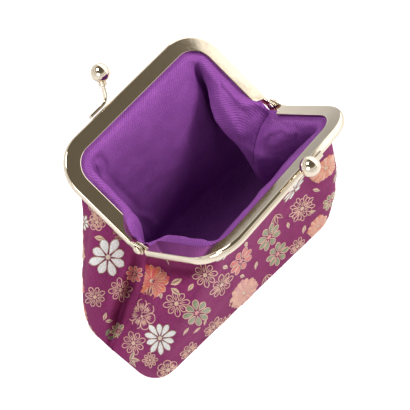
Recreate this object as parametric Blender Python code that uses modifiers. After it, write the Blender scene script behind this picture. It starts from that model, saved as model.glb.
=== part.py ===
"""Kiss-lock purse of flowered brocade: a hinged metal frame that holds a lined cloth pouch.

The purse stands open on its base. X runs along the hinge axis, from the near hinge (-X) to the
far hinge (+X), -Y is the front half and +Z is up. The origin is the middle of the base.
Sizes below are millimetres, and the model is written in metres.
"""
import math

import bmesh
import bpy
from mathutils import Euler, Matrix, Vector

MM = 0.001

# Frame
FRAME_WIDTH = 85.0
FRAME_HEIGHT = 45.6
CORNER_RADIUS = 15.0
CHANNEL_DEPTH = 6.3
CHANNEL_WALL = 0.45
SPINE_CROWN = 0.45
HALF_GAP = 0.3
ARM_START = 5.2
HINGE_HEIGHT = 68.0
BACK_LEAN = math.radians(63.4)
FRONT_LEAN = math.radians(51.6)

# Hinge ears and rivets
EAR_RADIUS = 2.6
EAR_THICKNESS = 0.8
EAR_INSET = 0.2
NECK_LENGTH = 1.2
RIVET_RADIUS = 1.1
RIVET_CLEARANCE = 0.2
RIVET_HEAD_RADIUS = 1.9
RIVET_HEAD_HEIGHT = 0.8
PART_GAP = 0.3

# Clasp: a bent strip with a ball on each half, past the middle so that they snap over each other
BALL_DIAMETER = 7.4
BALL_OFFSET = 3.85
BALL_RISE = 10.0
BALL_REACH = 3.7
NECK_RADIUS = 1.75
NECK_RISE = 1.3
STRIP_WIDTH = 2.6
STRIP_THICKNESS = 1.3
TAB_START = 17.0
TAB_END = 9.2
STRIP_SEAT = 0.25
SOCKET_DEPTH = 1.0
KNEE = (1.6, -0.3, 0.5)
BEND_REACH = 1.4
BEND_CROWN = 1.0

# Cloth and paper cord
OUTER_CLOTH = 0.8
LINING_CLOTH = 0.4
CORD_THICKNESS = 0.5
CORD_WIDTH = 3.4
LAYER_GAP = 0.2
EDGE_DEPTH = 1.7
BASE_SEAM_GAP = 0.2
SIDE_SEAM_GAP = 0.45
SEAM_THINNING = 0.5
LINING_ROOM = 1.1

# Pouch
BASE_LENGTH = 117.0
BASE_DEPTH = 49.5
BASE_CORNER = 16.0
BASE_SHIFT = 1.8
BASE_ROUNDING = 4.0
BASE_TWIST = math.radians(-5.2)
BASE_SEAM_BOW = 3.0
BASE_SEAM_END = 6.4
SEAM_INSET = 4.6
SEAM_DROP = 2.4
LINING_ROLL = 4.0
LINING_LIFT = 0.8
WALL_RISE = 24.0

# Side folds: how far in from the hinges each side seam runs, high and low on the side,
# how far the lining sags in under the arms, and how far the outer cloth stands out there
NEAR_SIDE = {"high": 4.0, "low": 2.5, "sag": 5.0, "flare": 16.0, "drop": 30.0}
FAR_SIDE = {"high": 17.0, "low": 17.0, "sag": 14.0, "flare": 6.0, "drop": 9.0}
SWELL_DROP = 47.0
CORNER_FLARE = 3.5
CORNER_SAG = 3.0

# Walls: how far each layer runs on in the frame's slope, falls, and stands out over the base
OUTER_WALL = {"run_on": 9.0, "fall": 12.0, "fall_at_arms": 13.0, "swell": 2.2}
LINING_WALL = {"run_on": 10.0, "fall": 6.0, "fall_at_arms": 12.0, "swell": 0.5}

# Depth past the channel's lip of the outer cloth's turn, close to the hinges and further along
LIP_TURN = ((0.9, 0.35), (1.8, 0.75), (2.6, 0.45))

# Slack folds: their height, and how many radians they run through along the mouth
GATHERS = {"height": 0.55, "run": 150.0}
WAVES = {"height": 1.3, "run": 17.0, "start": {"front": 1.1, "back": 1.1}}
SEAM_BUNCHING = 0.075

# Mesh density
ARM_COLUMNS = 6
CORNER_COLUMNS = 5
BAR_COLUMNS = 10
SEAM_COLUMNS = 2
WALL_ROWS = 11
ROUNDING_ROWS = 3
BASE_ROWS = 3
ARC_STEPS = 8
TURN_STEPS = 24
BEND_STEPS = 6
DOME_STEPS = 5

CHANNEL_THICKNESS = (2 * CHANNEL_WALL + OUTER_CLOTH + LINING_CLOTH + CORD_THICKNESS
                     + 4 * LAYER_GAP)
FACE = HALF_GAP / 2
CHANNEL_BACK = FACE + CHANNEL_THICKNESS
CHANNEL_MIDDLE = FACE + CHANNEL_THICKNESS / 2
CORD_FACE = FACE + CHANNEL_WALL + LAYER_GAP
LINING_INNER = CORD_FACE + CORD_THICKNESS + LAYER_GAP
LINING_OUTER = LINING_INNER + LINING_CLOTH
CLOTH_INNER = LINING_OUTER + LAYER_GAP
CLOTH_OUTER = CLOTH_INNER + OUTER_CLOTH
HALF_WIDTH = FRAME_WIDTH / 2
EAR_CLEAR_DEPTH = 2 * EAR_THICKNESS + PART_GAP + 3 * LAYER_GAP

HALVES = {"back": (1, BACK_LEAN), "front": (-1, FRONT_LEAN)}


# Scene helpers
def clear_scene():
    for obj in list(bpy.data.objects):
        bpy.data.objects.remove(obj, do_unlink=True)
    for name in ("clasp_purse", "cutters"):
        old = bpy.data.collections.get(name)
        if old:
            bpy.data.collections.remove(old)


def new_collection(name):
    collection = bpy.data.collections.new(name)
    bpy.context.scene.collection.children.link(collection)
    return collection


def link(name, data, collection, parent=None):
    obj = bpy.data.objects.new(name, data)
    collection.objects.link(obj)
    obj.parent = parent
    return obj


def smooth(mesh, angle=40):
    mesh.shade_smooth()
    mesh.set_sharp_from_angle(angle=math.radians(angle))


def as_mesh(curve_object, name, collection):
    """Turns a curve object into a mesh object with its caps welded, in the same place."""
    bpy.context.view_layer.update()
    graph = bpy.context.evaluated_depsgraph_get()
    mesh = bpy.data.meshes.new_from_object(curve_object.evaluated_get(graph))
    shape = bmesh.new()
    shape.from_mesh(mesh)
    bmesh.ops.remove_doubles(shape, verts=shape.verts, dist=0.00001)
    bmesh.ops.recalc_face_normals(shape, faces=shape.faces)
    shape.to_mesh(mesh)
    shape.free()
    obj = link(name, mesh, collection, curve_object.parent)
    obj.matrix_local = curve_object.matrix_local
    bpy.data.objects.remove(curve_object, do_unlink=True)
    smooth(mesh)
    return obj


def plain_curve(name, points, collection, parent=None, closed=False):
    """A poly curve through points given in millimetres."""
    data = bpy.data.curves.new(name, "CURVE")
    data.dimensions = "3D"
    spline = data.splines.new("POLY")
    spline.points.add(len(points) - 1)
    for place, point in zip(spline.points, points):
        place.co = (*(Vector(point) * MM), 1.0)
    spline.use_cyclic_u = closed
    return link(name, data, collection, parent)


def swept(name, path, section, collection, parent):
    """Sweeps a closed section along a path, as a closed bar with welded caps.

    The section's x points to the right of the path and its y points up.
    """
    profile = plain_curve(name + "_section", [(*point, 0.0) for point in section], collection,
                          closed=True)
    rail = plain_curve(name + "_rail", path, collection, parent)
    rail.data.twist_mode = "Z_UP"
    rail.data.bevel_mode = "OBJECT"
    rail.data.bevel_object = profile
    rail.data.use_fill_caps = True
    bar = as_mesh(rail, name, collection)
    bpy.data.objects.remove(profile, do_unlink=True)
    return bar


def swept_rim(name, depth, start, section, collection, parent):
    """Sweeps a section of (outside offset, inward depth) round the U, then stands it up."""
    path = [(u, v, 0.0) for u, v in outline(depth, ARC_STEPS, start)]
    bar = swept(name, path, [(inward, -outside) for outside, inward in section], collection,
                parent)
    bar.data.transform(Matrix.Rotation(math.radians(90), 4, "X"))
    return bar


def turned(name, profile, collection, parent):
    """A turned piece: a profile of (radius, height) from top to bottom, on a Screw modifier."""
    mesh = bpy.data.meshes.new(name)
    points = [(radius * MM, 0.0, height * MM) for radius, height in profile]
    mesh.from_pydata(points, [(i, i + 1) for i in range(len(points) - 1)], [])
    obj = link(name, mesh, collection, parent)
    screw = obj.modifiers.new("turn", "SCREW")
    screw.steps = TURN_STEPS
    screw.render_steps = TURN_STEPS
    screw.use_merge_vertices = True
    screw.merge_threshold = 0.000001
    screw.use_smooth_shade = True
    return obj


def boolean(obj, tool, operation):
    step = obj.modifiers.new(tool.name, "BOOLEAN")
    step.operation = operation
    step.solver = "EXACT"
    step.object = tool


# Materials
def principled(name, colour, roughness, metallic=0.0):
    material = bpy.data.materials.new(name)
    material.use_nodes = True
    shader = material.node_tree.nodes["Principled BSDF"]
    shader.inputs["Base Color"].default_value = (*colour, 1.0)
    shader.inputs["Roughness"].default_value = roughness
    shader.inputs["Metallic"].default_value = metallic
    material.diffuse_color = (*colour, 1.0)
    return material


def brocade(name, ground, flowers):
    """Purple satin with scattered woven flowers: round fields of petals, a few thread colours."""
    material = principled(name, ground, 0.55)
    nodes = material.node_tree.nodes
    links = material.node_tree.links
    place = nodes.new("ShaderNodeTexCoord")
    cells = nodes.new("ShaderNodeTexVoronoi")
    cells.inputs["Scale"].default_value = 55.0
    cells.inputs["Randomness"].default_value = 0.7
    petals = nodes.new("ShaderNodeTexVoronoi")
    petals.inputs["Scale"].default_value = 260.0
    spot = nodes.new("ShaderNodeMath")
    spot.operation = "LESS_THAN"
    spot.inputs[1].default_value = 0.42
    petal = nodes.new("ShaderNodeMath")
    petal.operation = "LESS_THAN"
    petal.inputs[1].default_value = 0.42
    both = nodes.new("ShaderNodeMath")
    both.operation = "MULTIPLY"
    pick = nodes.new("ShaderNodeValToRGB")
    pick.color_ramp.interpolation = "CONSTANT"
    for index, colour in enumerate(flowers):
        ramp = pick.color_ramp.elements
        stop = ramp[index] if index < 2 else ramp.new(index / len(flowers))
        stop.position = index / len(flowers)
        stop.color = (*colour, 1.0)
    mix = nodes.new("ShaderNodeMix")
    mix.data_type = "RGBA"
    mix.inputs["A"].default_value = (*ground, 1.0)
    links.new(place.outputs["Object"], cells.inputs["Vector"])
    links.new(place.outputs["Object"], petals.inputs["Vector"])
    links.new(cells.outputs["Distance"], spot.inputs[0])
    links.new(petals.outputs["Distance"], petal.inputs[0])
    links.new(spot.outputs[0], both.inputs[0])
    links.new(petal.outputs[0], both.inputs[1])
    links.new(cells.outputs["Color"], pick.inputs["Fac"])
    links.new(both.outputs[0], mix.inputs["Factor"])
    links.new(pick.outputs["Color"], mix.inputs["B"])
    links.new(mix.outputs["Result"], nodes["Principled BSDF"].inputs["Base Color"])
    return material


# The frame's outline, in a half's own plane: u along the bar, v away from the hinge axis
def outline(depth, arc_steps, start):
    """Points (u, v) of the U at an inward depth, from the near arm's end to the far arm's end."""
    radius = CORNER_RADIUS - depth
    side = HALF_WIDTH - depth
    centre_u = HALF_WIDTH - CORNER_RADIUS
    centre_v = FRAME_HEIGHT - CORNER_RADIUS
    near = [(-side, start)]
    for step in range(arc_steps + 1):
        angle = math.radians(90) * step / arc_steps
        near.append((-centre_u - radius * math.cos(angle), centre_v + radius * math.sin(angle)))
    return near + [(-u, v) for u, v in reversed(near)]


def half_frame(name, collection, cutters):
    """One half of the frame with its ears, clasp and paper cord, all on an empty at the hinge."""
    sign, lean = HALVES[name]
    pivot = link(name + "_frame_pivot", None, cutters)
    pivot.location = (0, 0, HINGE_HEIGHT * MM)
    pivot.rotation_euler = Euler((-lean, 0, 0 if sign > 0 else math.pi))

    channel = swept_rim(name + "_frame_channel", 0.0, ARM_START, channel_section(), collection,
                        pivot)
    for side, end in ((-1, "near"), (1, "far")):
        ear = hinge_ear(f"{name}_ear_{end}", side, side < 0, cutters, pivot)
        boolean(channel, ear, "UNION")
    hole = cylinder(name + "_rivet_hole", RIVET_RADIUS + RIVET_CLEARANCE, FRAME_WIDTH * 1.1,
                    cutters, pivot)
    boolean(channel, hole, "DIFFERENCE")

    cord = swept_rim(name + "_paper_cord", EDGE_DEPTH, ARM_START + NECK_LENGTH + PART_GAP,
                     rectangle(CORD_FACE, CORD_FACE + CORD_THICKNESS, 0.0, CORD_WIDTH),
                     collection, pivot)
    post = clasp_post(name + "_clasp_post", collection, pivot)
    ball = clasp_ball(name + "_clasp_ball", collection, pivot)
    return channel, cord, post, ball


def rectangle(x_low, x_high, depth_low, depth_high):
    return [(x_low, depth_low), (x_high, depth_low), (x_high, depth_high), (x_low, depth_high)]


def channel_section():
    """The U channel in section: (outside offset, inward depth), with a crowned spine."""
    inner_low = FACE + CHANNEL_WALL
    inner_high = CHANNEL_BACK - CHANNEL_WALL
    crown = [(0.0, 1.0), (0.12, 0.45), (0.32, 0.1), (0.5, 0.0), (0.68, 0.1), (0.88, 0.45),
             (1.0, 1.0)]
    spine = [(FACE + share * CHANNEL_THICKNESS, drop * SPINE_CROWN * 2) for share, drop in crown]
    lip = CHANNEL_DEPTH
    floor = CHANNEL_WALL + SPINE_CROWN
    return ([(FACE, lip)] + spine + [(CHANNEL_BACK, lip), (inner_high, lip), (inner_high, floor),
                                     (inner_low, floor), (inner_low, lip)])


def cylinder(name, radius, length, collection, parent):
    """A cylinder along the hinge axis."""
    shape = bmesh.new()
    bmesh.ops.create_cone(shape, cap_ends=True, segments=TURN_STEPS, radius1=radius * MM,
                          radius2=radius * MM, depth=length * MM)
    bmesh.ops.rotate(shape, verts=shape.verts, matrix=Matrix.Rotation(math.radians(90), 3, "Y"))
    mesh = bpy.data.meshes.new(name)
    shape.to_mesh(mesh)
    shape.free()
    return link(name, mesh, collection, parent)


def ear_span(outer):
    """Distances of an ear's two faces from the middle of the frame, inner face first."""
    high = HALF_WIDTH - EAR_INSET - (0 if outer else EAR_THICKNESS + PART_GAP)
    return high - EAR_THICKNESS, high


def hinge_ear(name, side, outer, collection, parent):
    """A round ear about the hinge axis, with a neck that joins it to the end of the channel."""
    low, high = ear_span(outer)
    points = []
    for step in range(ARC_STEPS * 2 + 1):
        angle = math.radians(180) + math.radians(210) * step / (ARC_STEPS * 2)
        points.append((EAR_RADIUS * math.cos(angle), EAR_RADIUS * math.sin(angle)))
    top = ARM_START + NECK_LENGTH
    root = ARM_START + EAR_INSET
    points += [(CHANNEL_BACK - CHANNEL_WALL / 2, root), (CHANNEL_BACK - CHANNEL_WALL / 2, top),
               (FACE + CHANNEL_WALL / 2, top), (FACE + CHANNEL_WALL / 2, root)]
    shape = bmesh.new()
    start = shape.faces.new([shape.verts.new((low * side * MM, y * MM, z * MM))
                             for y, z in points])
    grown = bmesh.ops.extrude_face_region(shape, geom=[start])
    moved = [part for part in grown["geom"] if isinstance(part, bmesh.types.BMVert)]
    bmesh.ops.translate(shape, verts=moved, vec=((high - low) * side * MM, 0, 0))
    bmesh.ops.recalc_face_normals(shape, faces=shape.faces)
    mesh = bpy.data.meshes.new(name)
    shape.to_mesh(mesh)
    shape.free()
    return link(name, mesh, collection, parent)


def stem_line():
    """Foot, knee and ball centre of the clasp's stem in the half's frame, and the upper run's aim."""
    foot = Vector((-TAB_END, CHANNEL_MIDDLE, FRAME_HEIGHT + STRIP_SEAT + STRIP_THICKNESS / 2))
    knee = foot + Vector(KNEE)
    ball = Vector((-BALL_OFFSET, -BALL_REACH, FRAME_HEIGHT + BALL_RISE))
    return foot, knee, ball, (ball - knee).normalized()


def clasp_post(name, collection, parent):
    """A flat strip that lies on the bar's spine, bends up and ends inside the ball's neck."""
    foot, knee, ball, aim = stem_line()
    tail = Vector((-TAB_START, foot.y, foot.z))
    tip = ball - aim * (BALL_DIAMETER / 2 + NECK_RISE - SOCKET_DEPTH)
    bend_in = foot - Vector((BEND_REACH, 0, 0))
    bend_out = knee + aim * BEND_REACH
    crown = foot + Vector((BEND_CROWN, 0, 0))
    path = [tail]
    for step in range(BEND_STEPS + 1):
        share = step / BEND_STEPS
        path.append(mix(mix(bend_in, crown, share), mix(crown, bend_out, share), share))
    path.append(tip)
    width = STRIP_WIDTH / 2
    height = STRIP_THICKNESS / 2
    section = [(-width, -height * 0.4), (-width * 0.8, -height), (width * 0.8, -height),
               (width, -height * 0.4), (width, height * 0.4), (width * 0.8, height),
               (0.0, height * 0.8), (-width * 0.8, height), (-width, height * 0.4)]
    return swept(name, path, section, collection, parent)


def clasp_ball(name, collection, parent):
    """A turned ball with a short neck, bored for the stem."""
    _, _, centre, aim = stem_line()
    radius = BALL_DIAMETER / 2
    bore = STRIP_WIDTH / 2 + LAYER_GAP / 2
    wide = math.asin(NECK_RADIUS / radius)
    profile = []
    for step in range(TURN_STEPS // 2 + 1):
        angle = (math.pi - wide) * step / (TURN_STEPS // 2)
        profile.append((radius * math.sin(angle), radius * math.cos(angle)))
    bottom = -radius - NECK_RISE
    profile += [(NECK_RADIUS, bottom), (bore, bottom), (bore, bottom + SOCKET_DEPTH + PART_GAP),
                (0.0, bottom + SOCKET_DEPTH + PART_GAP)]
    profile[0] = (0.0, radius)
    ball = turned(name, profile, collection, parent)
    ball.location = centre * MM
    ball.rotation_euler = aim.to_track_quat("Z", "Y").to_euler()
    return ball


def hinge_rivet(name, side, collection, pivot):
    """A rivet through both ears: a shank and two domed heads."""
    low = ear_span(False)[0] - LAYER_GAP
    high = HALF_WIDTH + LAYER_GAP
    middle = (low + high) / 2
    dome = []
    for step in range(DOME_STEPS + 1):
        angle = math.radians(90) * step / DOME_STEPS
        dome.append((RIVET_HEAD_RADIUS * math.sin(angle),
                     high - middle + RIVET_HEAD_HEIGHT * math.cos(angle)))
    profile = dome + [(RIVET_RADIUS, high - middle), (RIVET_RADIUS, low - middle)]
    profile += [(radius, -height) for radius, height in reversed(dome)]
    profile[0] = (0.0, profile[0][1])
    profile[-1] = (0.0, profile[-1][1])
    rivet = turned(name, profile, collection, pivot)
    rivet.location = (side * middle * MM, 0, 0)
    rivet.rotation_euler = (0, math.radians(90), 0)
    return rivet


# The pouch's surfaces
def mix(a, b, share):
    return a + (b - a) * share


def ease(x):
    x = min(1.0, max(0.0, x))
    return x * x * (3 - 2 * x)


def place(half, u, v, outside):
    """World point of a half's (u, v) at a distance outside the closing plane."""
    sign, lean = HALVES[half]
    return Vector((u, sign * (v * math.sin(lean) + outside * math.cos(lean)),
                   HINGE_HEIGHT + v * math.cos(lean) - outside * math.sin(lean)))


def mouth_columns():
    """(centre, inward direction) of each column round the U, one corner radius inside its edge."""
    centre_u = HALF_WIDTH - CORNER_RADIUS
    centre_v = FRAME_HEIGHT - CORNER_RADIUS
    columns = []
    start = ARM_START + NECK_LENGTH + PART_GAP
    for step in range(ARM_COLUMNS):
        columns.append(("arm", mix(start, centre_v, step / ARM_COLUMNS)))
    for step in range(CORNER_COLUMNS):
        columns.append(("arc", math.radians(90) * step / CORNER_COLUMNS))
    for step in range(BAR_COLUMNS // 2 + 1):
        columns.append(("bar", mix(-centre_u, 0.0, step / (BAR_COLUMNS // 2))))
    near = []
    for kind, value in columns:
        if kind == "arm":
            near.append((Vector((-centre_u, value)), Vector((1.0, 0.0))))
        elif kind == "arc":
            near.append((Vector((-centre_u, centre_v)),
                         Vector((math.cos(value), -math.sin(value)))))
        else:
            near.append((Vector((value, centre_v)), Vector((0.0, -1.0))))
    far = [(Vector((-centre.x, centre.y)), Vector((-inward.x, inward.y)))
           for centre, inward in reversed(near[:-1])]
    return near + far


def base_outline(share, inset, half):
    """Point and outward direction on half of the rounded base, from the near to the far seam."""
    sign = HALVES[half][0]
    radius = BASE_CORNER
    end = BASE_DEPTH / 2 - radius
    front = BASE_LENGTH - 2 * radius
    quarter = radius * math.pi / 2
    total = 2 * end + 2 * quarter + front
    run = share * total
    flip = run > total / 2
    run = min(run, total - run)
    if run < end:
        point = Vector((-BASE_LENGTH / 2, run))
        outward = Vector((-1.0, 0.0))
    elif run < end + quarter:
        angle = (run - end) / radius
        outward = Vector((-math.cos(angle), math.sin(angle)))
        point = Vector((radius - BASE_LENGTH / 2, end)) + outward * radius
    else:
        point = Vector((radius - BASE_LENGTH / 2 + run - end - quarter, BASE_DEPTH / 2))
        outward = Vector((0.0, 1.0))
    point -= outward * inset
    if flip:
        point.x = -point.x
        outward.x = -outward.x
    turn = Matrix.Rotation(BASE_TWIST, 2)
    return (turn @ Vector((point.x, sign * point.y)) + Vector((BASE_SHIFT, 0)),
            turn @ Vector((outward.x, sign * outward.y)))


def bezier(a, b, c, d, t):
    return a * (1 - t) ** 3 + b * 3 * t * (1 - t) ** 2 + c * 3 * t * t * (1 - t) + d * t ** 3


def soft_folds(half, share, t, arm):
    """How far the cloth stands out, as slack folds that fade towards the base."""
    fade = math.sin(math.pi * min(1.0, t * 1.05)) ** 1.2
    gathers = GATHERS["height"] * arm * math.cos(share * GATHERS["run"])
    gathers *= (1 - ease(t * 2.4)) * ease(t * 12)
    waves = WAVES["height"] * math.sin(share * WAVES["run"] + WAVES["start"][half])
    return waves * fade + gathers


def panel_rows(half, lining):
    """Rows of points of one panel, from the edge held in the channel to the base's middle line."""
    sign = HALVES[half][0]
    room = LINING_ROOM + OUTER_CLOTH if lining else 0.0
    columns = mouth_columns()
    count = len(columns) + 2 * SEAM_COLUMNS
    grid = []
    for index in range(count):
        share = index / (count - 1)
        side = -1 if share < 0.5 else 1
        from_seam = min(index, count - 1 - index)
        centre, inward = columns[min(max(index - SEAM_COLUMNS, 0), len(columns) - 1)]
        arm = abs(inward.x)
        corner = ease(2 * (centre.y / (FRAME_HEIGHT - CORNER_RADIUS)) - 1)
        seam = 1 - ease(from_seam / (SEAM_COLUMNS + ARM_COLUMNS * 0.75))

        rows = channel_rows(half, lining, centre, inward, from_seam - SEAM_COLUMNS)
        if from_seam < SEAM_COLUMNS:
            reach = HALF_WIDTH - SEAM_INSET - (LINING_ROLL if lining else 0)
            top = Vector((side * reach, 0, HINGE_HEIGHT - SEAM_DROP + room * 0.6))
            rows = seam_rows(rows, top, sign, 1 - from_seam / SEAM_COLUMNS)
        head = rows[-1]

        run = share - SEAM_BUNCHING * math.sin(2 * math.pi * share)
        inset = room * (1 + 0.5 * seam)
        edge, outward = base_outline(run, inset, half)
        foot = Vector((edge.x, edge.y, BASE_ROUNDING))
        out = Vector((outward.x, outward.y, 0))
        lead, swell = wall_handles(half, lining, side, arm, corner, head, foot, out)
        seam_lead, seam_swell = seam_handles(side, room, head, foot)
        lead = mix(lead, seam_lead, seam)
        swell = mix(swell, seam_swell, seam)
        for row in range(1, WALL_ROWS + 1):
            t = row / WALL_ROWS
            stand = soft_folds(half, share, t, arm) * (1 - seam)
            rows.append(bezier(head, lead, swell, foot, t) + out * stand)
        rows += base_rows(half, run, share, room, inset)
        if from_seam == 0:
            rows = [keep_seam_gap(point, sign) for point in rows]
        grid.append(rows)
    return [list(row) for row in zip(*grid)]


def wall_handles(half, lining, side, arm, corner, head, foot, out):
    """The two handles that shape a wall between the mouth and the base."""
    sign, lean = HALVES[half]
    wall = LINING_WALL if lining else OUTER_WALL
    fold = NEAR_SIDE if side < 0 else FAR_SIDE
    if lining:
        across = -arm * mix(fold["sag"], CORNER_SAG, corner)
    else:
        across = arm * mix(fold["flare"], CORNER_FLARE, corner)
    slope = Vector((0, -sign * math.sin(lean), -math.cos(lean)))
    lead = head + slope * wall["run_on"] * (1 - arm)
    lead += Vector((side * across, 0, -mix(wall["fall"], wall["fall_at_arms"], arm)))
    swell = foot + out * wall["swell"] + Vector((0, 0, WALL_RISE))
    return lead, swell


def seam_handles(side, room, head, foot):
    """The two handles of the fold that each side seam runs in."""
    fold = NEAR_SIDE if side < 0 else FAR_SIDE
    inside = HALF_WIDTH - 1.3 * room
    lead = Vector((side * (inside - fold["high"]), head.y * 0.35, HINGE_HEIGHT - fold["drop"]))
    swell = Vector((side * (inside - fold["low"]), foot.y * 0.6, HINGE_HEIGHT - SWELL_DROP - room))
    return lead, swell


def channel_rows(half, lining, centre, inward, from_end):
    """The stretch held in the channel, and what follows it: the lining's roll over the lip, or
    the outer cloth's turn round it, which is looser close to the hinges."""
    outside = LINING_OUTER if lining else CLOTH_OUTER
    held = EDGE_DEPTH if from_end > 0 else EAR_CLEAR_DEPTH
    turn = ease(from_end / 3)
    if lining:
        steps = [(CHANNEL_DEPTH + LINING_LIFT, outside),
                 (CHANNEL_DEPTH + LINING_ROLL * 0.6, outside - 0.5),
                 (CHANNEL_DEPTH + LINING_ROLL, outside - 0.4)]
    else:
        depths = [CHANNEL_DEPTH + mix(loose, tight, turn) for loose, tight in LIP_TURN]
        steps = [(depths[0], outside),
                 (depths[1], mix(outside + 0.4, CHANNEL_BACK + 0.1, turn)),
                 (depths[2], mix(outside + 1.3, CHANNEL_BACK + 0.9, turn))]
    rows = []
    for depth, off in [(held, outside), (mix(held, CHANNEL_DEPTH, 0.6), outside)] + steps:
        point = centre - inward * (CORNER_RADIUS - depth)
        rows.append(place(half, point.x, point.y, off))
    return rows


def seam_rows(rows, top, sign, share):
    """Moves a column's top towards the seam's end, just inside and under the hinge."""
    moved = []
    for index, point in enumerate(rows):
        target = top + Vector((0, sign * 0.1, 0.8 - 1.1 * max(index - 0.5, 0.5)))
        moved.append(mix(point, target, share))
    return moved


def base_rows(half, run, share, floor, inset):
    """The rounded foot and the flat base at the floor's height, in to the middle line."""
    rows = []
    for step in range(1, ROUNDING_ROWS + 1):
        angle = math.radians(90) * step / ROUNDING_ROWS
        edge, _ = base_outline(run, inset + BASE_ROUNDING * (1 - math.cos(angle)), half)
        height = mix(BASE_ROUNDING, floor, math.sin(angle))
        rows.append(Vector((edge.x, edge.y, height)))
    edge, _ = base_outline(run, inset + BASE_ROUNDING, half)
    reach = BASE_LENGTH / 2 - inset - BASE_ROUNDING - BASE_SEAM_END
    bow = BASE_SEAM_BOW * math.sin(math.pi * share)
    middle = Matrix.Rotation(BASE_TWIST, 2) @ Vector(((2 * share - 1) * reach, bow))
    middle += Vector((BASE_SHIFT, 0))
    for step in range(1, BASE_ROWS + 1):
        point = mix(edge, middle, step / BASE_ROWS)
        if step == BASE_ROWS:
            point += Matrix.Rotation(BASE_TWIST, 2) @ Vector((0, HALVES[half][0] * BASE_SEAM_GAP))
        rows.append(Vector((point.x, point.y, floor)))
    return rows


def keep_seam_gap(point, sign):
    """Half of the gap between the two panels, wider up the side seams than under the base."""
    axis = Matrix.Rotation(BASE_TWIST, 2) @ Vector((0, 1))
    gap = mix(BASE_SEAM_GAP, SIDE_SEAM_GAP, ease(point.z / WALL_RISE))
    return point + Vector((axis.x, axis.y, 0)) * sign * gap


def panel(name, half, lining, collection):
    """A cloth panel: an open surface of rows, given its thickness inwards."""
    rows = panel_rows(half, lining)
    shape = bmesh.new()
    thin = shape.verts.layers.deform.verify()
    verts = [[shape.verts.new(point * MM) for point in row] for row in rows]
    for row in verts:
        for vert in row[1:-1]:
            vert[thin][0] = 1.0
    for upper, lower in zip(verts, verts[1:]):
        for index in range(len(upper) - 1):
            shape.faces.new((upper[index], lower[index], lower[index + 1], upper[index + 1]))
    mesh = bpy.data.meshes.new(name)
    shape.to_mesh(mesh)
    shape.free()
    if HALVES[half][0] > 0:
        mesh.flip_normals()
    obj = link(name, mesh, collection)
    obj.vertex_groups.new(name="full_thickness")
    shell = obj.modifiers.new("cloth", "SOLIDIFY")
    shell.vertex_group = "full_thickness"
    shell.thickness_vertex_group = SEAM_THINNING
    shell.thickness = (LINING_CLOTH if lining else OUTER_CLOTH) * MM
    shell.offset = -1.0
    shell.use_even_offset = True
    smooth(mesh, 60)
    return obj


def build():
    clear_scene()
    parts = new_collection("clasp_purse")
    cutters = new_collection("cutters")
    metal = principled("pale_gold_plate", (0.86, 0.80, 0.68), 0.12, 1.0)
    paper = principled("twisted_paper", (0.72, 0.63, 0.48), 0.9)
    cloth = brocade("purple_brocade", (0.22, 0.03, 0.19),
                    [(0.9, 0.88, 0.85), (0.75, 0.1, 0.08), (0.3, 0.36, 0.24), (0.7, 0.45, 0.3),
                     (0.8, 0.62, 0.45)])
    twill = principled("purple_twill", (0.28, 0.07, 0.42), 0.6)

    for half in HALVES:
        channel, cord, post, ball = half_frame(half, parts, cutters)
        for piece in (channel, post, ball):
            piece.data.materials.append(metal)
        cord.data.materials.append(paper)
        outer = panel(f"outer_{half}_panel", half, False, parts)
        outer.data.materials.append(cloth)
        lining = panel(f"lining_{half}_panel", half, True, parts)
        lining.data.materials.append(twill)
    pivot = bpy.data.objects["back_frame_pivot"]
    for name, side in (("near_hinge_rivet", -1), ("far_hinge_rivet", 1)):
        rivet = hinge_rivet(name, side, parts, pivot)
        rivet.data.materials.append(metal)
    for tool in cutters.objects:
        tool.hide_render = True
        if tool.type == "MESH":
            tool.display_type = "WIRE"
    bpy.context.view_layer.update()


build()
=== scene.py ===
"""Looks of a small clasp purse: flowered brocade outside, purple twill inside, polished gold frame.

Lengths are millimetres until a mesh is made, and the model stands in metres on a pale floor.
"""

import math

import bmesh
import bpy
import numpy as np
from mathutils import Matrix, Vector, noise
from mathutils.bvhtree import BVHTree


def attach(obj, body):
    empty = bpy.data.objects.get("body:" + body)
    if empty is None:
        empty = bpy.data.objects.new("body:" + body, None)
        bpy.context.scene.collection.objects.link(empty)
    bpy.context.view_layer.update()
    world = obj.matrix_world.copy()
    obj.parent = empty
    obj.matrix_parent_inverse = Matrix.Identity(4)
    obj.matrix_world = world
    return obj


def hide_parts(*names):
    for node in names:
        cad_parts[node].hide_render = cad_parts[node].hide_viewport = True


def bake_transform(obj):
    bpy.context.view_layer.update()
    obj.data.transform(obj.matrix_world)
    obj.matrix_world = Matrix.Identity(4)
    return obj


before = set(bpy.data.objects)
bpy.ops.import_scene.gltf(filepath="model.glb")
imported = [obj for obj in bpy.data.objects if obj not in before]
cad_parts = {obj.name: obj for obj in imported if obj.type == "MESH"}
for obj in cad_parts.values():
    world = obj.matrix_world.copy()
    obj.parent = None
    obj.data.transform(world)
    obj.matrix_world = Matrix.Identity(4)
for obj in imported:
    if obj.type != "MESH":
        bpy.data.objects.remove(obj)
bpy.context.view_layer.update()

MM = 0.001
IMAGE_PIXELS = 410

# Camera: where the photograph was taken from, seen from the middle of the hinge axis
CAMERA_AZIMUTH = math.radians(-52.483)
CAMERA_ELEVATION = math.radians(55.806)
CAMERA_DISTANCE = 493.23
CAMERA_AIM = Vector((-11.835, -7.5, 68.0))
SENSOR_WIDTH = 36.0
LENS = 114.19

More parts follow.
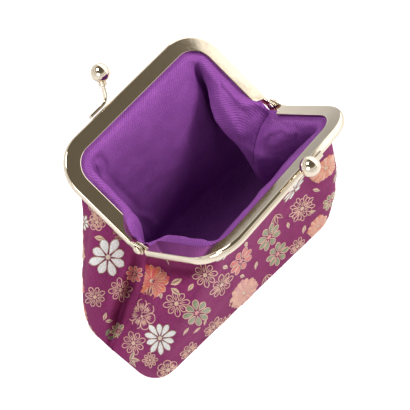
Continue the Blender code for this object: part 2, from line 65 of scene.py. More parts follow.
# Frame
HALF_WIDTH = 42.5
FRAME_HEIGHT = 45.6
CORNER_RADIUS = 15.0
CHANNEL_DEPTH = 6.3
CHANNEL_WALL = 0.45
CHANNEL_THICKNESS = 3.4
FACE = 0.15
CHANNEL_BACK = FACE + CHANNEL_THICKNESS
CHANNEL_MIDDLE = FACE + CHANNEL_THICKNESS / 2
SPINE_CROWN = 0.9
FACE_BOW = 0.12
CHANNEL_START = 3.5
CHANNEL_SLANT = 2.8
RIM_STEPS = 20
ARM_START = 5.2
HINGE_HEIGHT = 68.0
HALVES = {"back": (1, math.radians(63.4)), "front": (-1, math.radians(51.6))}
EAR_RADIUS = 2.6
EAR_THICKNESS = 0.8
EAR_INSET = 0.2
EAR_GAP = 0.3
NECK_LENGTH = 1.2
RIVET_RADIUS = 1.1
RIVET_HEAD_RADIUS = 1.9
RIVET_HEAD_HEIGHT = 0.8

# Clasp
BALL_DIAMETER = 7.4
BALL_CENTRE = (-3.85, -3.7, FRAME_HEIGHT + 10.0)
NECK_RADIUS = 1.75
NECK_RISE = 1.3
STRIP_WIDTH = 2.6
STRIP_THICKNESS = 1.3
STRIP_START = 17.0
STRIP_END = 9.2
STRIP_SEAT = 0.25
KNEE = (1.6, -0.3, 0.5)

# Cloth
OUTER_CLOTH = 0.8
LINING_OUTER = 1.9
CLOTH_OUTER = 2.9
EDGE_DEPTH = 1.7
EAR_CLEAR_DEPTH = 2.5
SEAM_COLUMNS = 2
ARM_COLUMNS = 6
CORNER_COLUMNS = 5
BAR_COLUMNS = 10
HELD_ROWS = 5
LIP_ROWS = 3
WALL_ROWS = 11
ROUNDING_ROWS = 3
BASE_ROWS = 3
LINING_ROOM = 1.1
LINING_ROLL = 4.0
LINING_LIFT = 0.8
SEAM_INSET = 3.5
SEAM_DROP = 1.4
SEAM_LAYERS = 0.8
BASE_LENGTH = 117.0
BASE_DEPTH = 49.5
BASE_CORNERS = {"back": (16.0, 16.0), "front": (10.0, 16.0)}
BASE_SHIFT = 1.8
BASE_ROUNDING = 4.0
LINING_ROUNDING = 8.0
BASE_TWIST = math.radians(-5.2)
BASE_SEAM_BOW = 3.0
BASE_SEAM_END = 6.4
BASE_SEAM_GAP = 0.02
SIDE_SEAM_GAP = 0.02
WALL_RISE = 24.0
NEAR_SIDE = {"high": 4.0, "low": 2.5, "sag": 5.0, "flare": 16.0, "drop": 30.0}
FAR_SIDE = {"high": 17.0, "low": 17.0, "sag": 14.0, "flare": 6.0, "drop": 9.0}
SWELL_DROP = 47.0
CORNER_FLARE = 3.5
CORNER_SAG = 3.0
OUTER_WALL = {"run_on": 9.0, "fall": 12.0, "fall_at_arms": 13.0, "swell": 2.2}
LINING_WALL = {"run_on": 10.0, "fall": 6.0, "fall_at_arms": 12.0, "swell": 0.5}
LIP_TURN = ((0.9, 0.35), (1.8, 0.75), (2.6, 0.45))
SEAM_BUNCHING = 0.075
WAVES = {"height": 1.3, "run": 17.0, "start": {"front": 1.1, "back": 1.1}}
STITCH_COLUMN = 4
STITCH_PITCH = 3.0
STITCH_LENGTH = 1.9
STITCH_RADIUS = 0.2
STITCH_LIFT = 0.12
STITCH_END_ROW = 11
ALLOWANCE_COLUMNS = 18
ALLOWANCE_DEPTH = 0.55
ALLOWANCE_SHEET = 0.2
CLOTH_SHEET = 0.3
LINING_CRINKLE = {"back": 0.28, "front": 0.5}
FINE_ROWS = 7
FINE_COLUMNS = 7


# Small geometry
def mix(a, b, share):
    """The value a share of the way from a to b."""
    return a + (b - a) * share


def ease(x):
    """A smooth step from 0 to 1."""
    x = min(1.0, max(0.0, x))
    return x * x * (3 - 2 * x)


def ease_array(x):
    """The same smooth step for an array."""
    x = np.clip(x, 0.0, 1.0)
    return x * x * (3 - 2 * x)


def place(half, u, v, outside):
    """World point of a half's (u, v) at a distance outside its closing plane."""
    sign, lean = HALVES[half]
    return Vector((u, sign * (v * math.sin(lean) + outside * math.cos(lean)),
                   HINGE_HEIGHT + v * math.cos(lean) - outside * math.sin(lean)))


def place_turned(half, point):
    """World point of (u, outside, v) on a half: the front half is the back one turned round."""
    u, outside, v = point
    return place(half, u if half == "back" else -u, v, outside)


def new_object(name, mesh):
    """An object for a mesh, in the scene's own collection."""
    obj = bpy.data.objects.new(name, mesh)
    bpy.context.scene.collection.objects.link(obj)
    return obj


def mesh_piece(name, verts, faces, material, uv=None):
    """A mesh object in place, with its UV map from one (u, v) for each vertex."""
    mesh = bpy.data.meshes.new(name)
    mesh.from_pydata([tuple(v) for v in verts], [], faces)
    if uv is not None:
        corners = np.empty(len(mesh.loops), dtype=np.int32)
        mesh.loops.foreach_get("vertex_index", corners)
        layer = mesh.uv_layers.new(name="cloth")
        layer.data.foreach_set("uv", np.asarray(uv, dtype=np.float32)[corners].ravel())
    mesh.materials.append(material)
    mesh.shade_smooth()
    return new_object(name, mesh)


def grid_faces(rows, columns, wrap_columns=False, flip=False):
    """Quads between the points of a grid that is numbered row by row."""
    faces = []
    last = columns if wrap_columns else columns - 1
    for row in range(rows - 1):
        for column in range(last):
            a = row * columns + column
            b = row * columns + (column + 1) % columns
            face = (a, b, b + columns, a + columns)
            faces.append(face[::-1] if flip else face)
    return faces


def tube_faces(rings, count):
    """Faces of a closed tube made of rings of points, with its two ends."""
    faces = grid_faces(rings, count, wrap_columns=True)
    last = rings * count
    return faces + [tuple(range(count)), tuple(range(last - count, last))]


def smoothed(obj, degrees):
    """The object shaded smooth, with the edges past an angle kept crisp."""
    obj.data.shade_smooth()
    obj.data.set_sharp_from_angle(angle=math.radians(degrees))
    return obj


def outward(obj):
    """Points a closed piece's faces outwards, after its doubles are merged."""
    shape = bmesh.new()
    shape.from_mesh(obj.data)
    bmesh.ops.remove_doubles(shape, verts=shape.verts, dist=0.000001)
    bmesh.ops.recalc_face_normals(shape, faces=shape.faces)
    shape.to_mesh(obj.data)
    shape.free()
    return obj


def baked(obj):
    """The object with its modifiers applied."""
    graph = bpy.context.evaluated_depsgraph_get()
    mesh = bpy.data.meshes.new_from_object(obj.evaluated_get(graph))
    obj.modifiers.clear()
    old = obj.data
    obj.data = mesh
    bpy.data.meshes.remove(old)
    mesh.name = obj.name
    return obj


# Materials
def shader_of(name, colour, roughness, metallic=0.0):
    """A new material and its Principled shader."""
    material = bpy.data.materials.new(name)
    material.use_nodes = True
    shader = material.node_tree.nodes["Principled BSDF"]
    shader.inputs["Base Color"].default_value = (*colour, 1.0)
    shader.inputs["Roughness"].default_value = roughness
    shader.inputs["Metallic"].default_value = metallic
    material.diffuse_color = (*colour, 1.0)
    return material, shader


def node(material, kind, **values):
    """A shader node, with its properties and unlinked inputs set by name."""
    made = material.node_tree.nodes.new(kind)
    for key, value in values.items():
        if hasattr(made, key):
            setattr(made, key, value)
        else:
            made.inputs[key.replace("_", " ")].default_value = value
    return made


def join(material, *pairs):
    """Links each pair of an output and an input socket."""
    for source, target in pairs:
        material.node_tree.links.new(source, target)


def two_colours(material, factor, dark, light):
    """A colour between two by a factor socket."""
    blend = node(material, "ShaderNodeMix", data_type="RGBA")
    blend.inputs["A"].default_value = (*dark, 1.0)
    blend.inputs["B"].default_value = (*light, 1.0)
    join(material, (factor, blend.inputs["Factor"]))
    return blend.outputs["Result"]


def woven(name, dark, light, roughness, rib, turn, relief, sheen, speckle):
    """Twill or satin cloth: diagonal ribs on the cloth's own UV map, slubs and a soft sheen."""
    material, shader = shader_of(name, mix(Vector(dark), Vector(light), 0.5), roughness)
    shader.inputs["Specular IOR Level"].default_value = 0.12
    shader.inputs["Sheen Weight"].default_value = sheen
    shader.inputs["Sheen Roughness"].default_value = 0.45
    shader.inputs["Sheen Tint"].default_value = (*light, 1.0)
    cloth = node(material, "ShaderNodeUVMap", uv_map="cloth")
    turned = node(material, "ShaderNodeMapping")
    turned.inputs["Rotation"].default_value = (0, 0, math.radians(turn))
    ribs = node(material, "ShaderNodeTexWave", wave_type="BANDS", wave_profile="SIN")
    ribs.inputs["Scale"].default_value = math.pi / 10 / rib
    ribs.inputs["Distortion"].default_value = 0.6
    ribs.inputs["Detail"].default_value = 1.0
    ribs.inputs["Detail Scale"].default_value = 3.0
    slubs = node(material, "ShaderNodeTexNoise", Scale=1500.0, Detail=3.0)
    patches = node(material, "ShaderNodeTexNoise", Scale=90.0, Detail=4.0)
    join(material, (cloth.outputs["UV"], turned.inputs["Vector"]),
         (turned.outputs["Vector"], ribs.inputs["Vector"]),
         (cloth.outputs["UV"], slubs.inputs["Vector"]),
         (cloth.outputs["UV"], patches.inputs["Vector"]))
    grain = node(material, "ShaderNodeMath", operation="MULTIPLY_ADD")
    grain.inputs[1].default_value = speckle
    grain.inputs[2].default_value = 0.5 - speckle / 2
    total = node(material, "ShaderNodeMath", operation="MULTIPLY_ADD")
    total.inputs[1].default_value = 0.35
    tone = node(material, "ShaderNodeMath", operation="MULTIPLY_ADD")
    tone.inputs[1].default_value = 0.5
    tone.use_clamp = True
    join(material, (slubs.outputs["Fac"], grain.inputs[0]),
         (ribs.outputs["Fac"], total.inputs[0]), (grain.outputs[0], total.inputs[2]),
         (patches.outputs["Fac"], tone.inputs[0]))
    lower = node(material, "ShaderNodeMath", operation="SUBTRACT")
    lower.inputs[1].default_value = 0.42
    join(material, (total.outputs[0], lower.inputs[0]), (lower.outputs[0], tone.inputs[2]))
    colour = two_colours(material, tone.outputs[0], dark, light)
    bump = node(material, "ShaderNodeBump", Strength=0.7, Distance=relief)
    join(material, (total.outputs[0], bump.inputs["Height"]),
         (bump.outputs["Normal"], shader.inputs["Normal"]),
         (colour, shader.inputs["Base Color"]))
    return material


def polished_gold():
    """Pale gold plate: mirror bright, with faint waves and rubbing marks."""
    material, shader = shader_of("pale_gold", (0.9, 0.83, 0.72), 0.07, 1.0)
    spot = node(material, "ShaderNodeTexCoord")
    waves = node(material, "ShaderNodeTexNoise", Scale=160.0, Detail=2.0)
    rub = node(material, "ShaderNodeTexNoise", Scale=900.0, Detail=5.0)
    rub_range = node(material, "ShaderNodeMapRange")
    rub_range.inputs["To Min"].default_value = 0.03
    rub_range.inputs["To Max"].default_value = 0.10
    tint = two_colours(material, waves.outputs["Fac"], (0.80, 0.69, 0.53), (0.89, 0.80, 0.67))
    bump = node(material, "ShaderNodeBump", Strength=0.12, Distance=0.00008)
    join(material, (spot.outputs["Object"], waves.inputs["Vector"]),
         (spot.outputs["Object"], rub.inputs["Vector"]),
         (rub.outputs["Fac"], rub_range.inputs["Value"]),
         (rub_range.outputs["Result"], shader.inputs["Roughness"]),
         (waves.outputs["Fac"], bump.inputs["Height"]),
         (bump.outputs["Normal"], shader.inputs["Normal"]),
         (tint, shader.inputs["Base Color"]))
    return material


def thread_material():
    """Raised silk and metal thread: the colour of each float comes from the motif's attribute."""
    material, shader = shader_of("woven_thread", (0.8, 0.7, 0.6), 0.42)
    shader.inputs["Sheen Weight"].default_value = 0.15
    colour = node(material, "ShaderNodeAttribute", attribute_name="thread")
    cloth = node(material, "ShaderNodeUVMap", uv_map="cloth")
    strands = node(material, "ShaderNodeTexWave", wave_type="BANDS", wave_profile="SIN")
    strands.inputs["Scale"].default_value = 500.0
    strands.inputs["Distortion"].default_value = 1.2
    slubs = node(material, "ShaderNodeTexNoise", Scale=1800.0, Detail=3.0)
    shade = node(material, "ShaderNodeMapRange")
    shade.inputs["From Min"].default_value = 0.3
    shade.inputs["From Max"].default_value = 0.7
    shade.inputs["To Min"].default_value = 0.72
    shade.inputs["To Max"].default_value = 1.12
    product = node(material, "ShaderNodeMix", data_type="RGBA", blend_type="MULTIPLY")
    product.inputs["Factor"].default_value = 1.0
    bump = node(material, "ShaderNodeBump", Strength=0.6, Distance=0.0001)
    join(material, (cloth.outputs["UV"], strands.inputs["Vector"]),
         (cloth.outputs["UV"], slubs.inputs["Vector"]),
         (slubs.outputs["Fac"], shade.inputs["Value"]),
         (colour.outputs["Color"], product.inputs["A"]),
         (shade.outputs["Result"], product.inputs["B"]),
         (product.outputs["Result"], shader.inputs["Base Color"]),
         (strands.outputs["Fac"], bump.inputs["Height"]),
         (bump.outputs["Normal"], shader.inputs["Normal"]))
    return material


def stitch_material():
    """Dark plied sewing thread."""
    material, shader = shader_of("sewing_thread", (0.10, 0.02, 0.13), 0.7)
    spot = node(material, "ShaderNodeTexCoord")
    plies = node(material, "ShaderNodeTexNoise", Scale=2600.0, Detail=2.0)
    colour = two_colours(material, plies.outputs["Fac"], (0.05, 0.01, 0.07), (0.17, 0.04, 0.21))
    join(material, (spot.outputs["Object"], plies.inputs["Vector"]),
         (colour, shader.inputs["Base Color"]))
    return material


def paper_material():
    """Brown paper twisted into a cord."""
    material, shader = shader_of("twisted_paper", (0.72, 0.63, 0.48), 0.9)
    spot = node(material, "ShaderNodeTexCoord")
    twist = node(material, "ShaderNodeTexWave", Scale=400.0, Distortion=1.0)
    colour = two_colours(material, twist.outputs["Fac"], (0.6, 0.5, 0.36), (0.78, 0.7, 0.56))
    join(material, (spot.outputs["Object"], twist.inputs["Vector"]),
         (colour, shader.inputs["Base Color"]))
    return material


# The pouch's surfaces
def mouth_columns():
    """(centre, inward direction) of each column round the U, one corner radius inside its edge."""
    centre_u = HALF_WIDTH - CORNER_RADIUS
    centre_v = FRAME_HEIGHT - CORNER_RADIUS
    start = ARM_START + NECK_LENGTH + EAR_GAP
    near = []
    for step in range(ARM_COLUMNS):
        value = mix(start, centre_v, step / ARM_COLUMNS)
        near.append((Vector((-centre_u, value)), Vector((1.0, 0.0))))
    for step in range(CORNER_COLUMNS):
        angle = math.radians(90) * step / CORNER_COLUMNS
        near.append((Vector((-centre_u, centre_v)), Vector((math.cos(angle), -math.sin(angle)))))
    for step in range(BAR_COLUMNS // 2 + 1):
        value = mix(-centre_u, 0.0, step / (BAR_COLUMNS // 2))
        near.append((Vector((value, centre_v)), Vector((0.0, -1.0))))
    far = [(Vector((-centre.x, centre.y)), Vector((-inward.x, inward.y)))
           for centre, inward in reversed(near[:-1])]
    return near + far


def base_outline(share, inset, half):
    """Point and outward direction on half of the rounded base, from the near to the far seam."""
    sign = HALVES[half][0]
    spans = [BASE_DEPTH / 2 + BASE_LENGTH / 2 + radius * (math.pi / 2 - 2)
             for radius in BASE_CORNERS[half]]
    run = share * sum(spans)
    flip = run > spans[0]
    if flip:
        run = sum(spans) - run
    radius = BASE_CORNERS[half][flip]
    end = BASE_DEPTH / 2 - radius
    quarter = radius * math.pi / 2
    if run < end:
        point = Vector((-BASE_LENGTH / 2, run))
        out = Vector((-1.0, 0.0))
    elif run < end + quarter:
        angle = (run - end) / radius
        out = Vector((-math.cos(angle), math.sin(angle)))
        point = Vector((radius - BASE_LENGTH / 2, end)) + out * radius
    else:
        point = Vector((radius - BASE_LENGTH / 2 + run - end - quarter, BASE_DEPTH / 2))
        out = Vector((0.0, 1.0))
    point -= out * inset
    if flip:
        point.x = -point.x
        out.x = -out.x
    turn = Matrix.Rotation(BASE_TWIST, 2)
    return (turn @ Vector((point.x, sign * point.y)) + Vector((BASE_SHIFT, 0)),
            turn @ Vector((out.x, sign * out.y)))


def bezier(a, b, c, d, t):
    """A point of the cubic curve with the ends a and d and the handles b and c."""
    return a * (1 - t) ** 3 + b * 3 * t * (1 - t) ** 2 + c * 3 * t * t * (1 - t) + d * t ** 3


def held_rows(half, lining, centre, inward, from_end):
    """The stretch held in the channel, and the lining's roll or the outer cloth's turn after it."""
    outside = LINING_OUTER if lining else CLOTH_OUTER
    held = EDGE_DEPTH if from_end > 0 else EAR_CLEAR_DEPTH
    turn = ease(from_end / 3)
    if lining:
        steps = [(CHANNEL_DEPTH + LINING_LIFT, outside),
                 (CHANNEL_DEPTH + LINING_ROLL * 0.6, outside - 0.5),
                 (CHANNEL_DEPTH + LINING_ROLL, outside - 0.4)]
    else:
        depths = [CHANNEL_DEPTH + mix(loose, tight, turn) for loose, tight in LIP_TURN]
        steps = [(depths[0], outside),
                 (depths[1], mix(outside + 0.4, CHANNEL_BACK + 0.1, turn)),
                 (depths[2], mix(outside + 1.3, CHANNEL_BACK + 0.9, turn))]
    rows = []
    for depth, off in [(held, outside), (mix(held, CHANNEL_DEPTH, 0.6), outside)] + steps:
        point = centre - inward * (CORNER_RADIUS - depth)
        rows.append(place(half, point.x, point.y, off))
    return rows


def wall_handles(half, lining, side, arm, corner, head, foot, out):
    """The two handles that shape a wall between the mouth and the base."""
    sign, lean = HALVES[half]
    wall = LINING_WALL if lining else OUTER_WALL
    fold = NEAR_SIDE if side < 0 else FAR_SIDE
    if lining:
        across = -arm * mix(fold["sag"], CORNER_SAG, corner)
    else:
        across = arm * mix(fold["flare"], CORNER_FLARE, corner)
    slope = Vector((0, -sign * math.sin(lean), -math.cos(lean)))
    lead = head + slope * wall["run_on"] * (1 - arm)
    lead += Vector((side * across, 0, -mix(wall["fall"], wall["fall_at_arms"], arm)))
    swell = foot + out * wall["swell"] + Vector((0, 0, WALL_RISE))
    return lead, swell


def seam_handles(side, room, head, foot):
    """The two handles of the fold that each side seam runs in."""
    fold = NEAR_SIDE if side < 0 else FAR_SIDE
    inside = HALF_WIDTH - 1.3 * room
    lead = Vector((side * (inside - fold["high"]), head.y * 0.35, HINGE_HEIGHT - fold["drop"]))
    swell = Vector((side * (inside - fold["low"]), foot.y * 0.6, HINGE_HEIGHT - SWELL_DROP - room))
    return lead, swell


def base_rows(half, run, share, floor, inset, rounding):
    """The rounded foot and the flat base at the floor's height, in to the middle line."""
    rows = []
    for step in range(1, ROUNDING_ROWS + 1):
        angle = math.radians(90) * step / ROUNDING_ROWS
        edge, _ = base_outline(run, inset + rounding * (1 - math.cos(angle)), half)
        rows.append(Vector((edge.x, edge.y, mix(rounding, floor, math.sin(angle)))))
    edge, _ = base_outline(run, inset + rounding, half)
    reach = BASE_LENGTH / 2 - inset - BASE_ROUNDING - BASE_SEAM_END
    bow = BASE_SEAM_BOW * math.sin(math.pi * share)
    turn = Matrix.Rotation(BASE_TWIST, 2)
    middle = turn @ Vector(((2 * share - 1) * reach, bow)) + Vector((BASE_SHIFT, 0))
    for step in range(1, BASE_ROWS + 1):
        point = mix(edge, middle, step / BASE_ROWS)
        if step == BASE_ROWS:
            point += turn @ Vector((0, HALVES[half][0] * BASE_SEAM_GAP))
        rows.append(Vector((point.x, point.y, floor)))
    return rows


def keep_seam_gap(point, sign):
    """Half of the gap between the two panels, wider up the side seams than under the base."""
    axis = Matrix.Rotation(BASE_TWIST, 2) @ Vector((0, 1))
    gap = mix(BASE_SEAM_GAP, SIDE_SEAM_GAP, ease(point.z / WALL_RISE))
    return point + Vector((axis.x, axis.y, 0)) * sign * gap


def coarse_panel(half, lining):
    """Rows of points of one panel, from the edge held in the channel to the base's middle line."""
    sign = HALVES[half][0]
    room = LINING_ROOM + OUTER_CLOTH if lining else 0.0
    columns = mouth_columns()
    count = len(columns) + 2 * SEAM_COLUMNS
    grid = []
    for index in range(count):
        share = index / (count - 1)
        side = -1 if share < 0.5 else 1
        from_seam = min(index, count - 1 - index)
        centre, inward = columns[min(max(index - SEAM_COLUMNS, 0), len(columns) - 1)]
        arm = abs(inward.x)
        corner = ease(2 * (centre.y / (FRAME_HEIGHT - CORNER_RADIUS)) - 1)
        seam = 1 - ease(from_seam / (SEAM_COLUMNS + ARM_COLUMNS * 0.75))
        rows = held_rows(half, lining, centre, inward, from_seam - SEAM_COLUMNS)
        if from_seam < SEAM_COLUMNS:
            reach = HALF_WIDTH - SEAM_INSET - (SEAM_LAYERS if lining else 0)
            top = Vector((side * reach, 0, HINGE_HEIGHT - SEAM_DROP + room * 0.6))
            share_in = 1 - from_seam / SEAM_COLUMNS
            rows = [mix(point, top + Vector((0, sign * 0.1, 0.8 - 1.1 * max(row - 0.5, 0.5))),
                        share_in) for row, point in enumerate(rows)]
        head = rows[-1]
        run = share - SEAM_BUNCHING * math.sin(2 * math.pi * share)
        inset = room * (1 + 0.5 * seam)
        rounding = mix(LINING_ROUNDING, BASE_ROUNDING, seam) if lining else BASE_ROUNDING
        edge, direction = base_outline(run, inset, half)
        foot = Vector((edge.x, edge.y, rounding))
        out = Vector((direction.x, direction.y, 0))
        lead, swell = wall_handles(half, lining, side, arm, corner, head, foot, out)
        seam_lead, seam_swell = seam_handles(side, room, head, foot)
        lead = mix(lead, seam_lead, seam)
        swell = mix(swell, seam_swell, seam)
        for row in range(1, WALL_ROWS + 1):
            t = row / WALL_ROWS
            fade = math.sin(math.pi * min(1.0, t * 1.05)) ** 1.2
            wave = WAVES["height"] * math.sin(share * WAVES["run"] + WAVES["start"][half])
            rows.append(bezier(head, lead, swell, foot, t) + out * wave * fade * (1 - seam))
        rows += base_rows(half, run, share, room, inset, rounding)
        if from_seam == 0:
            rows = [keep_seam_gap(point, sign) for point in rows]
        grid.append([tuple(point) for point in rows])
    return np.array(grid).transpose(1, 0, 2)


def refine(grid, steps, axis):
    """Smooth points between a grid's rows (axis 0) or columns (axis 1), through its own points."""
    grid = np.moveaxis(grid, axis, 0)
    padded = np.concatenate([2 * grid[:1] - grid[1:2], grid, 2 * grid[-1:] - grid[-2:-1]])
    fine = []
    for index in range(len(grid) - 1):
        a, b, c, d = padded[index:index + 4]
        for step in range(steps):
            t = step / steps
            fine.append(0.5 * (2 * b + (c - a) * t + (2 * a - 5 * b + 4 * c - d) * t * t
                               + (3 * b - a - 3 * c + d) * t ** 3))
    fine.append(grid[-1])
    return np.moveaxis(np.array(fine), 0, axis)


def grid_normals(points):
    """Unit normals of a grid of points, from its two directions."""
    down = np.gradient(points, axis=0)
    along = np.gradient(points, axis=1)
    normals = np.cross(down, along)
    return normals / np.maximum(np.linalg.norm(normals, axis=2, keepdims=True), 1e-9)


def to_pixels(points):
    """Where points in millimetres fall in the photograph."""
    eye, right, up, ahead = camera_axes()
    away = points - eye
    depth = away @ ahead
    scale = LENS / SENSOR_WIDTH * IMAGE_PIXELS
    x = IMAGE_PIXELS / 2 + scale * (away @ right) / depth
    y = IMAGE_PIXELS / 2 - scale * (away @ up) / depth
    return np.stack([x, y], axis=-1)


def camera_axes():
    """The camera's place and its right, up and forward directions, as arrays in millimetres."""
    flat = math.cos(CAMERA_ELEVATION)
    eye = np.array([math.sin(CAMERA_AZIMUTH) * flat, -math.cos(CAMERA_AZIMUTH) * flat,
                    math.sin(CAMERA_ELEVATION)]) * CAMERA_DISTANCE + np.array([0, 0, HINGE_HEIGHT])
    ahead = np.array(CAMERA_AIM) - eye
    ahead /= np.linalg.norm(ahead)
    right = np.cross(ahead, [0, 0, 1.0])
    right /= np.linalg.norm(right)
    return eye, right, np.cross(right, ahead), ahead


def line_distance(pixels, line):
    """Distance of each pixel place from a polyline, and how far along it the nearest point is."""
    best = np.full(pixels.shape[:-1], 1e9)
    along = np.zeros(pixels.shape[:-1])
    spans = [math.dist(a, b) for a, b in zip(line, line[1:])]
    done = 0.0
    for (start, end), span in zip(zip(line, line[1:]), spans):
        run = np.array(end, float) - np.array(start, float)
        t = np.clip(((pixels - np.array(start)) @ run) / (run @ run), 0, 1)
        gap = np.linalg.norm(pixels - (np.array(start) + t[..., None] * run), axis=-1)
        closer = gap < best
        best = np.where(closer, gap, best)
        along = np.where(closer, (done + t * span) / sum(spans), along)
        done += span
    return best, along


# Folds seen in the photograph: a line of pixels, its half width in pixels, and how far the
# cloth comes forward along it (or sinks, if negative) in millimetres, where it shows
LINING_FOLDS = [
    {"line": [(193, 54), (201, 72), (208, 90), (213, 108), (217, 122)], "wide": 5, "rise": -2.6},
    {"line": [(199, 54), (214, 74), (232, 96), (250, 108)], "wide": 4.5, "rise": 1.5},
    {"line": [(206, 66), (222, 86), (240, 108), (250, 118)], "wide": 2.2, "rise": -0.9},
    {"line": [(216, 92), (226, 112), (236, 130), (246, 142)], "wide": 5, "rise": 1.8},
    {"line": [(216, 75), (221, 82), (223, 92)], "wide": 1.8, "rise": -0.7},
    {"line": [(94, 160), (100, 157), (105, 163), (104, 178)], "wide": 3.2, "rise": -1.8},
    {"line": [(92, 172), (104, 188), (118, 200), (132, 214)], "wide": 4.5, "rise": 1.3},
    {"line": [(104, 170), (116, 186), (130, 200), (142, 214)], "wide": 4, "rise": -1.2},
    {"line": [(136, 212), (150, 218), (158, 228)], "wide": 3.0, "rise": 1.2},
    {"line": [(141, 222), (149, 230), (152, 240)], "wide": 1.8, "rise": -0.9},
    {"line": [(150, 100), (140, 130), (136, 160)], "wide": 14, "rise": 0.8},
    {"line": [(258, 134), (268, 125), (280, 122), (293, 128)], "wide": 2.0, "rise": -1.3},
    {"line": [(260, 140), (270, 132), (282, 129), (292, 136)], "wide": 3.0, "rise": 1.6},
    {"line": [(292, 121), (298, 131), (297, 142)], "wide": 2.4, "rise": -1.1},
    {"line": [(240, 143), (252, 151), (266, 158), (279, 165), (287, 157)], "wide": 4, "rise": 2.2},
    {"line": [(250, 162), (266, 170), (282, 177)], "wide": 6, "rise": -2.5},
    {"line": [(310, 117), (318, 127)], "wide": 3.0, "rise": -0.7},
]
OUTER_FOLDS = [
    {"line": [(141, 250), (134, 272), (128, 290), (122, 307), (115, 330), (110, 352)], "wide": 4.0,
     "rise": -6.0},
    {"line": [(141, 256), (134, 274), (128, 291), (122, 307), (115, 330)], "wide": 1.8,
     "rise": -2.6},
    {"line": [(131, 262), (122, 284), (113, 305), (105, 328)], "wide": 5.5, "rise": 2.8},
    {"line": [(146, 290), (137, 312), (126, 338)], "wide": 8, "rise": 2.2},
    {"line": [(144, 258), (166, 267), (190, 267), (212, 257)], "wide": 9, "rise": -9.0},
    {"line": [(152, 272), (172, 279), (192, 277)], "wide": 7, "rise": -3.0},
    {"line": [(222, 275), (198, 298), (172, 322), (150, 345)], "wide": 14, "rise": 2.0},
    {"line": [(318, 190), (312, 215), (300, 240)], "wide": 12, "rise": -1.0},
    {"line": [(92, 210), (93, 250), (96, 290)], "wide": 9, "rise": 0.8},
]

# Where the lining swings out over the cavity or bunches over a channel's end: half, its share
# along and down the panel, how wide it is in those shares, and how far it moves across, up and
# out of the picture in millimetres
LINING_SWINGS = [("back", 0.88, 0.30, 0.07, 0.10, -4.5, -2.0, 0.0),
                 ("back", 0.045, 0.13, 0.045, 0.06, -3.4, 0.2, 5.2),
                 ("front", -0.045, 0.13, 0.045, 0.06, -3.4, 0.2, 5.2),
                 ("back", 0.96, 0.13, 0.035, 0.07, 1.2, 1.6, 2.4),
                 ("front", 1.04, 0.13, 0.035, 0.07, 1.2, 1.6, 2.4)]


def shown_side(half, lining):
    """Sign of the grid's normals on the side that shows: inside for lining, outside for cloth."""
    return 1 if (half == "back") == lining else -1


def fold(points, half, lining):
    """Moves a panel along the lines of sight where the photograph shows its folds."""
    to_eye = camera_axes()[0] - points
    to_eye /= np.linalg.norm(to_eye, axis=2, keepdims=True)
    facing = np.sum(grid_normals(points) * shown_side(half, lining) * to_eye, axis=2)
    pixels = to_pixels(points)
    rise = np.zeros(facing.shape)
    both = [(OUTER_FOLDS, -1), (LINING_FOLDS, 1)] if lining else [(OUTER_FOLDS, 1)]
    for folds, side in both:
        weight = ease_array(facing * side * 4 + 0.4)
        for each in folds:
            gap, along = line_distance(pixels, each["line"])
            taper = np.sin(np.pi * np.clip(along, 0.02, 0.98)) ** 0.6
            rise += each["rise"] * np.exp(-(gap / each["wide"]) ** 2) * taper * weight
    return points + to_eye * rise[..., None]


def swing(points, half):
    """Moves the lining across the picture where it hangs out over the cavity."""
    _, right, up, ahead = camera_axes()
    rows, columns = points.shape[:2]
    down, along = np.meshgrid(np.linspace(0, 1, rows), np.linspace(0, 1, columns), indexing="ij")
    for swung, share, drop, wide, tall, across, rise, out in LINING_SWINGS:
        if swung == half:
            weight = np.exp(-((along - share) / wide) ** 2 - ((down - drop) / tall) ** 2)
            points = points + weight[..., None] * (right * across + up * rise - ahead * out)
    return points


def crinkle(points, normals, start, height, size, rows):
    """Small uneven wrinkles along the normal, strongest near the mouth."""
    fade = np.clip((np.arange(points.shape[0]) - start) / rows[0], 0, 1)
    fade *= 1 - np.clip((np.arange(points.shape[0]) - rows[1]) / rows[2], 0, 1)
    from_seam = np.minimum(np.arange(points.shape[1]), np.arange(points.shape[1])[::-1])
    clear = ease_array(from_seam / 12)
    moved = points.copy()
    for row in np.nonzero(fade > 0)[0]:
        for column in range(points.shape[1]):
            spot = Vector(points[row, column]) / size
            value = noise.fractal(spot, 1.0, 2.0, 3)
            moved[row, column] += normals[row, column] * value * height * fade[row] * clear[column]
    return moved


def cloth_uv(points):
    """Cloth coordinates in metres: along the wall, and down each column."""
    middle = points[points.shape[0] * 2 // 5]
    along = np.concatenate([[0], np.cumsum(np.linalg.norm(np.diff(middle, axis=0), axis=1))])
    down = np.concatenate([np.zeros((1, points.shape[1])),
                           np.cumsum(np.linalg.norm(np.diff(points, axis=0), axis=2), axis=0)])
    uv = np.stack([np.broadcast_to(along - along[-1] / 2, down.shape), down], axis=-1)
    return uv * MM


def panel_points(half, lining):
    """A panel's fine grid of points, with its swings, folds and wrinkles."""
    coarse = coarse_panel(half, lining)
    points = refine(refine(coarse, FINE_ROWS, 0), FINE_COLUMNS, 1)
    floor = coarse[-1, 0, 2]
    points[:, :, 2] = np.maximum(points[:, :, 2], floor)
    if lining:
        points = swing(points, half)
    points = fold(points, half, lining)
    lip = LIP_ROWS * FINE_ROWS
    end = points.shape[0] - (ROUNDING_ROWS + BASE_ROWS) * FINE_ROWS
    if lining:
        points = crinkle(points, grid_normals(points), lip, LINING_CRINKLE[half], 7.0, (8, 70, 30))
    else:
        points = crinkle(points, grid_normals(points), lip + 14, 0.45, 13.0, (20, end - 20, 20))
    return points


